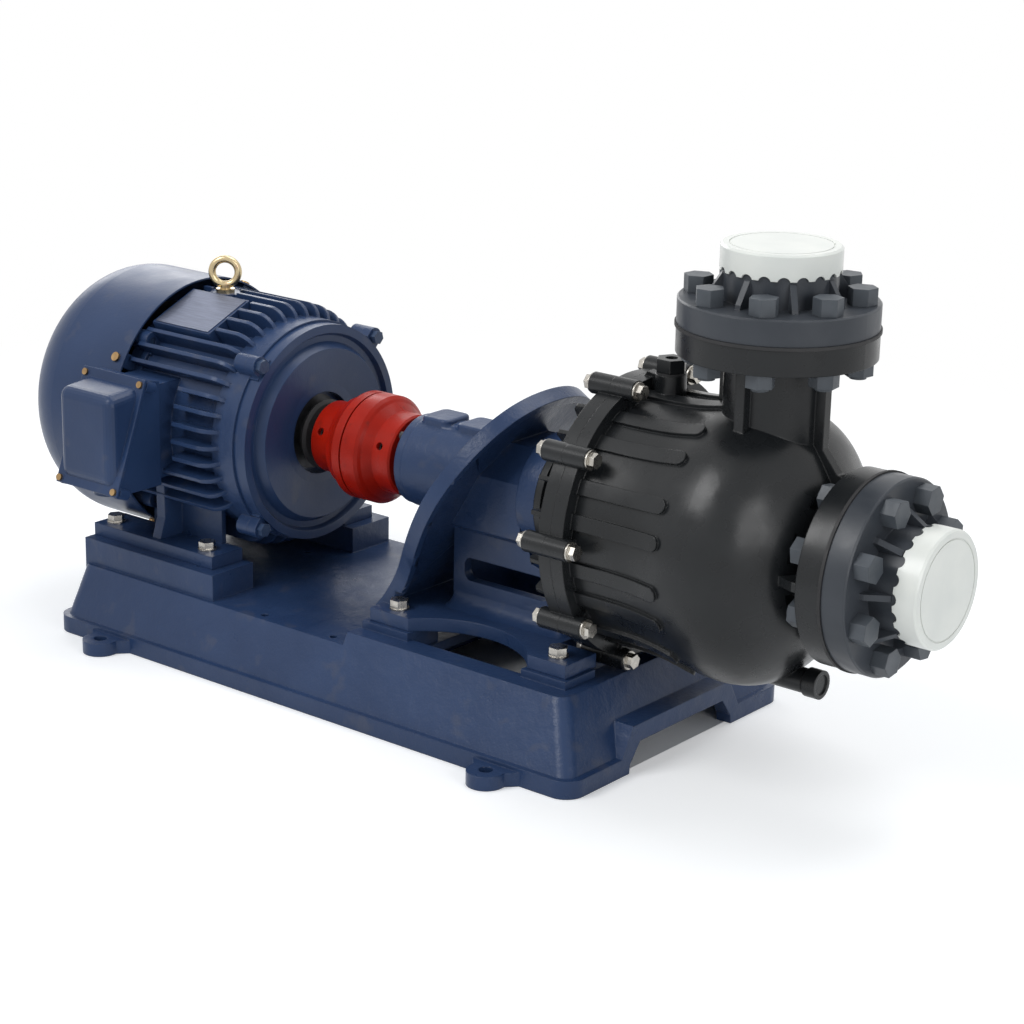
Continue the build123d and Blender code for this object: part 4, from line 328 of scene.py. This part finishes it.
# The terminal cover: a flat rim on the box's sloping mouth and a bulge with well rounded edges, in metres.
# The bulge starts behind the rim's back, so that the two join. Edges further out than frontFrom are round.
cover = {
    "node": "terminal_cover", "rim": 0.004, "softRim": 0.0008, "rimSegments": 2, "inset": 0.0062,
    "round": 0.0105, "segments": 5, "frontDrop": 0.006, "frontRise": 0.004, "behindUpper": 0.004,
    "behindLower": 0.008, "frontFrom": 0.0008,
}


# A closed prism along the shaft from its side view, given as (y, z) corners in order
def prismAlongX(corners, x0, x1):
    prism = bmesh.new()
    face = prism.faces.new([prism.verts.new((x0, y, z)) for y, z in corners])
    grown = bmesh.ops.extrude_face_region(prism, geom=[face])
    moved = [item for item in grown["geom"] if isinstance(item, bmesh.types.BMVert)]
    bmesh.ops.translate(prism, verts=moved, vec=(x1 - x0, 0, 0))
    bmesh.ops.recalc_face_normals(prism, faces=prism.faces)
    return prism


# Turns a bmesh into an object and frees it
def asObject(solid, name):
    mesh = bpy.data.meshes.new(name)
    solid.to_mesh(mesh)
    solid.free()
    made = bpy.data.objects.new(name, mesh)
    bpy.context.scene.collection.objects.link(made)
    return made


coverLow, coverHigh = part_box(cover["node"])
boxLow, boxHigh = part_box("terminal_box")
mouthTop = Vector((coverHigh[1], coverHigh[2]))
mouthLow = Vector((boxLow[1], coverLow[2]))
down = (mouthLow - mouthTop).normalized()
out = Vector((down[1], -down[0]))
rimShape = prismAlongX([mouthTop, mouthLow, mouthLow + out * cover["rim"], mouthTop + out * cover["rim"]],
                       coverLow[0], coverHigh[0])
bmesh.ops.bevel(rimShape, geom=rimShape.edges[:], offset=cover["softRim"], affect="EDGES",
                segments=cover["rimSegments"], profile=0.5, material=-1)
upper = mouthTop + down * cover["inset"]
lower = mouthLow - down * cover["inset"]
front = coverLow[1]
bulgeShape = prismAlongX(
    [upper - out * cover["behindUpper"], lower - out * cover["behindLower"],
     (front, lower[1] + cover["frontRise"]), (front, upper[1] - cover["frontDrop"])],
    coverLow[0] + cover["inset"], coverHigh[0] - cover["inset"])
frontEdges = []
for edge in bulgeShape.edges:
    ends = [Vector((vert.co[1], vert.co[2])) for vert in edge.verts]
    if max((end - mouthTop).dot(out) for end in ends) > cover["frontFrom"]:
        frontEdges.append(edge)
bmesh.ops.bevel(bulgeShape, geom=frontEdges, offset=cover["round"], affect="EDGES",
                segments=cover["segments"], profile=0.5, material=-1)
rimPiece = asObject(rimShape, "coverRim")
bulgePiece = asObject(bulgeShape, "coverBulge")
union = rimPiece.modifiers.new("union", "BOOLEAN")
union.operation = "UNION"
union.solver = "EXACT"
union.object = bulgePiece
bpy.context.view_layer.update()
joined = bpy.data.meshes.new_from_object(rimPiece.evaluated_get(bpy.context.evaluated_depsgraph_get()))
joined.name = "roundedCover"
for spent in (rimPiece, bulgePiece):
    bpy.data.objects.remove(spent)
coverPiece = bpy.data.objects.new("roundedCover", joined)
bpy.context.scene.collection.objects.link(coverPiece)
joined.materials.clear()
joined.materials.append(materials["sheetPaint"])
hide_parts(cover["node"])
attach(coverPiece, "pump_unit")
print("stage terminal cover: faces", len(joined.polygons))

# Camera as the photograph's: where it looks, how it stands, and its lens
camera = {
    "target": (0.13586, 0.0, 0.19513), "distance": 2.60767, "azimuth": 38.668, "elevation": 17.505,
    "roll": 1.156, "lens": 91.41, "sensor": 36, "clip": 50,
}
turn = math.radians(camera["azimuth"])
rise = math.radians(camera["elevation"])
roll = math.radians(camera["roll"])
back = Vector((math.sin(turn) * math.cos(rise), -math.cos(turn) * math.cos(rise), math.sin(rise)))
right = Vector((math.cos(turn), math.sin(turn), 0))
up = back.cross(right)
cameraRight = right * math.cos(roll) + up * math.sin(roll)
cameraUp = up * math.cos(roll) - right * math.sin(roll)
place = Matrix((cameraRight, cameraUp, back)).transposed().to_4x4()
place.translation = Vector(camera["target"]) + back * camera["distance"]
lensData = bpy.data.cameras.new("photoCamera")
lensData.lens = camera["lens"]
lensData.sensor_width = camera["sensor"]
lensData.clip_end = camera["clip"]
cameraObject = bpy.data.objects.new("photoCamera", lensData)
cameraObject.matrix_world = place
bpy.context.scene.collection.objects.link(cameraObject)
bpy.context.scene.camera = cameraObject
print("stage camera: at", [round(v, 3) for v in place.translation])

# Square soft lights that look at one point: metres and watts
lampAim = Vector((0.1, 0, 0.22))
lamps = {
    "keyLight": {"spot": (-0.6, -1.9, 2.3), "size": 1.4, "power": 40},
    "topLight": {"spot": (0.3, 0.9, 2.4), "size": 1.6, "power": 26},
    "sideLight": {"spot": (2.3, -0.7, 0.9), "size": 1.0, "power": 12},
    "rearLight": {"spot": (-2.0, 1.2, 1.2), "size": 1.2, "power": 12},
}
for name, values in lamps.items():
    data = bpy.data.lights.new(name, "AREA")
    data.size = values["size"]
    data.energy = values["power"]
    lamp = bpy.data.objects.new(name, data)
    spot = Vector(values["spot"])
    facing = (spot - lampAim).to_track_quat("Z", "Y").to_matrix().to_4x4()
    lamp.matrix_world = Matrix.Translation(spot) @ facing
    bpy.context.scene.collection.objects.link(lamp)


# One where a ray comes from the camera, or from a shiny or clear surface that shows the background
def shownRay(tree):
    rays = tree.nodes.new("ShaderNodeLightPath").outputs
    shown = mathOf(tree, "MAXIMUM", rays["Is Camera Ray"], rays["Is Glossy Ray"])
    return mathOf(tree, "MAXIMUM", shown, rays["Is Transmission Ray"])


# White behind the object, a softer grey for the light
worldLook = {
    "seenColour": (1, 1, 1, 1), "seenStrength": 1, "lightColour": (0.9, 0.95, 1, 1), "lightStrength": 0.34,
}
world = bpy.data.worlds.new("studio")
bpy.context.scene.world = world
world.use_nodes = True
tree = world.node_tree
tree.nodes.clear()
output = tree.nodes.new("ShaderNodeOutputWorld")
mixer = tree.nodes.new("ShaderNodeMixShader")
tree.links.new(shownRay(tree), mixer.inputs["Fac"])
for index, kind in ((1, "light"), (2, "seen")):
    background = tree.nodes.new("ShaderNodeBackground")
    background.inputs["Color"].default_value = worldLook[kind + "Colour"]
    background.inputs["Strength"].default_value = worldLook[kind + "Strength"]
    tree.links.new(background.outputs["Background"], mixer.inputs[index])
tree.links.new(mixer.outputs["Shader"], output.inputs["Surface"])

# A round floor just under the feet, which takes the shadow and fades to white further out. It is lifted
# towards white outside the base, and not under it, where the deck's openings show the floor.
floorLook = {
    "radius": 3.2, "sides": 96, "height": -0.0005, "colour": (0.84, 0.85, 0.86, 1), "rough": 0.9,
    "fadeStart": 0.7, "fadeEnd": 1.5, "white": (1, 1, 1, 1), "lift": 0.32, "baseHalf": (0.345, 0.172),
}
disc = bmesh.new()
bmesh.ops.create_circle(disc, cap_ends=True, segments=floorLook["sides"], radius=floorLook["radius"],
                        matrix=Matrix.Translation((0, 0, floorLook["height"])))
floor = asObject(disc, "floor")
floorMaterial = bpy.data.materials.new("floorPaint")
floorMaterial.use_nodes = True
tree = floorMaterial.node_tree
shown = shownRay(tree)
coords = tree.nodes.new("ShaderNodeTexCoord").outputs["Object"]
axes = tree.nodes.new("ShaderNodeSeparateXYZ")
tree.links.new(coords, axes.inputs[0])
beyond = []
for axis, half in zip("XY", floorLook["baseHalf"]):
    beyond.append(mathOf(tree, "GREATER_THAN", mathOf(tree, "ABSOLUTE", axes.outputs[axis]), half))
outside = mathOf(tree, "MAXIMUM", beyond[0], beyond[1])
seenLift = mathOf(tree, "MULTIPLY", outside, floorLook["lift"])
paint = tree.nodes["Principled BSDF"]
paint.inputs["Base Color"].default_value = floorLook["colour"]
paint.inputs["Roughness"].default_value = floorLook["rough"]
paint.inputs["Emission Color"].default_value = floorLook["white"]
tree.links.new(mathOf(tree, "MULTIPLY", shown, seenLift), paint.inputs["Emission Strength"])
distance = tree.nodes.new("ShaderNodeVectorMath")
distance.operation = "LENGTH"
tree.links.new(coords, distance.inputs[0])
fade = tree.nodes.new("ShaderNodeMapRange")
fade.interpolation_type = "SMOOTHSTEP"
fade.inputs["From Min"].default_value = floorLook["fadeStart"]
fade.inputs["From Max"].default_value = floorLook["fadeEnd"]
tree.links.new(distance.outputs["Value"], fade.inputs["Value"])
clear = tree.nodes.new("ShaderNodeEmission")
clear.inputs["Color"].default_value = floorLook["white"]
blend = tree.nodes.new("ShaderNodeMixShader")
tree.links.new(mathOf(tree, "MULTIPLY", fade.outputs["Result"], shown), blend.inputs["Fac"])
tree.links.new(paint.outputs["BSDF"], blend.inputs[1])
tree.links.new(clear.outputs["Emission"], blend.inputs[2])
tree.links.new(blend.outputs["Shader"], tree.nodes["Material Output"].inputs["Surface"])
floor.data.materials.append(floorMaterial)
bpy.context.scene.view_settings.view_transform = "Standard"
print("stage lights and floor")
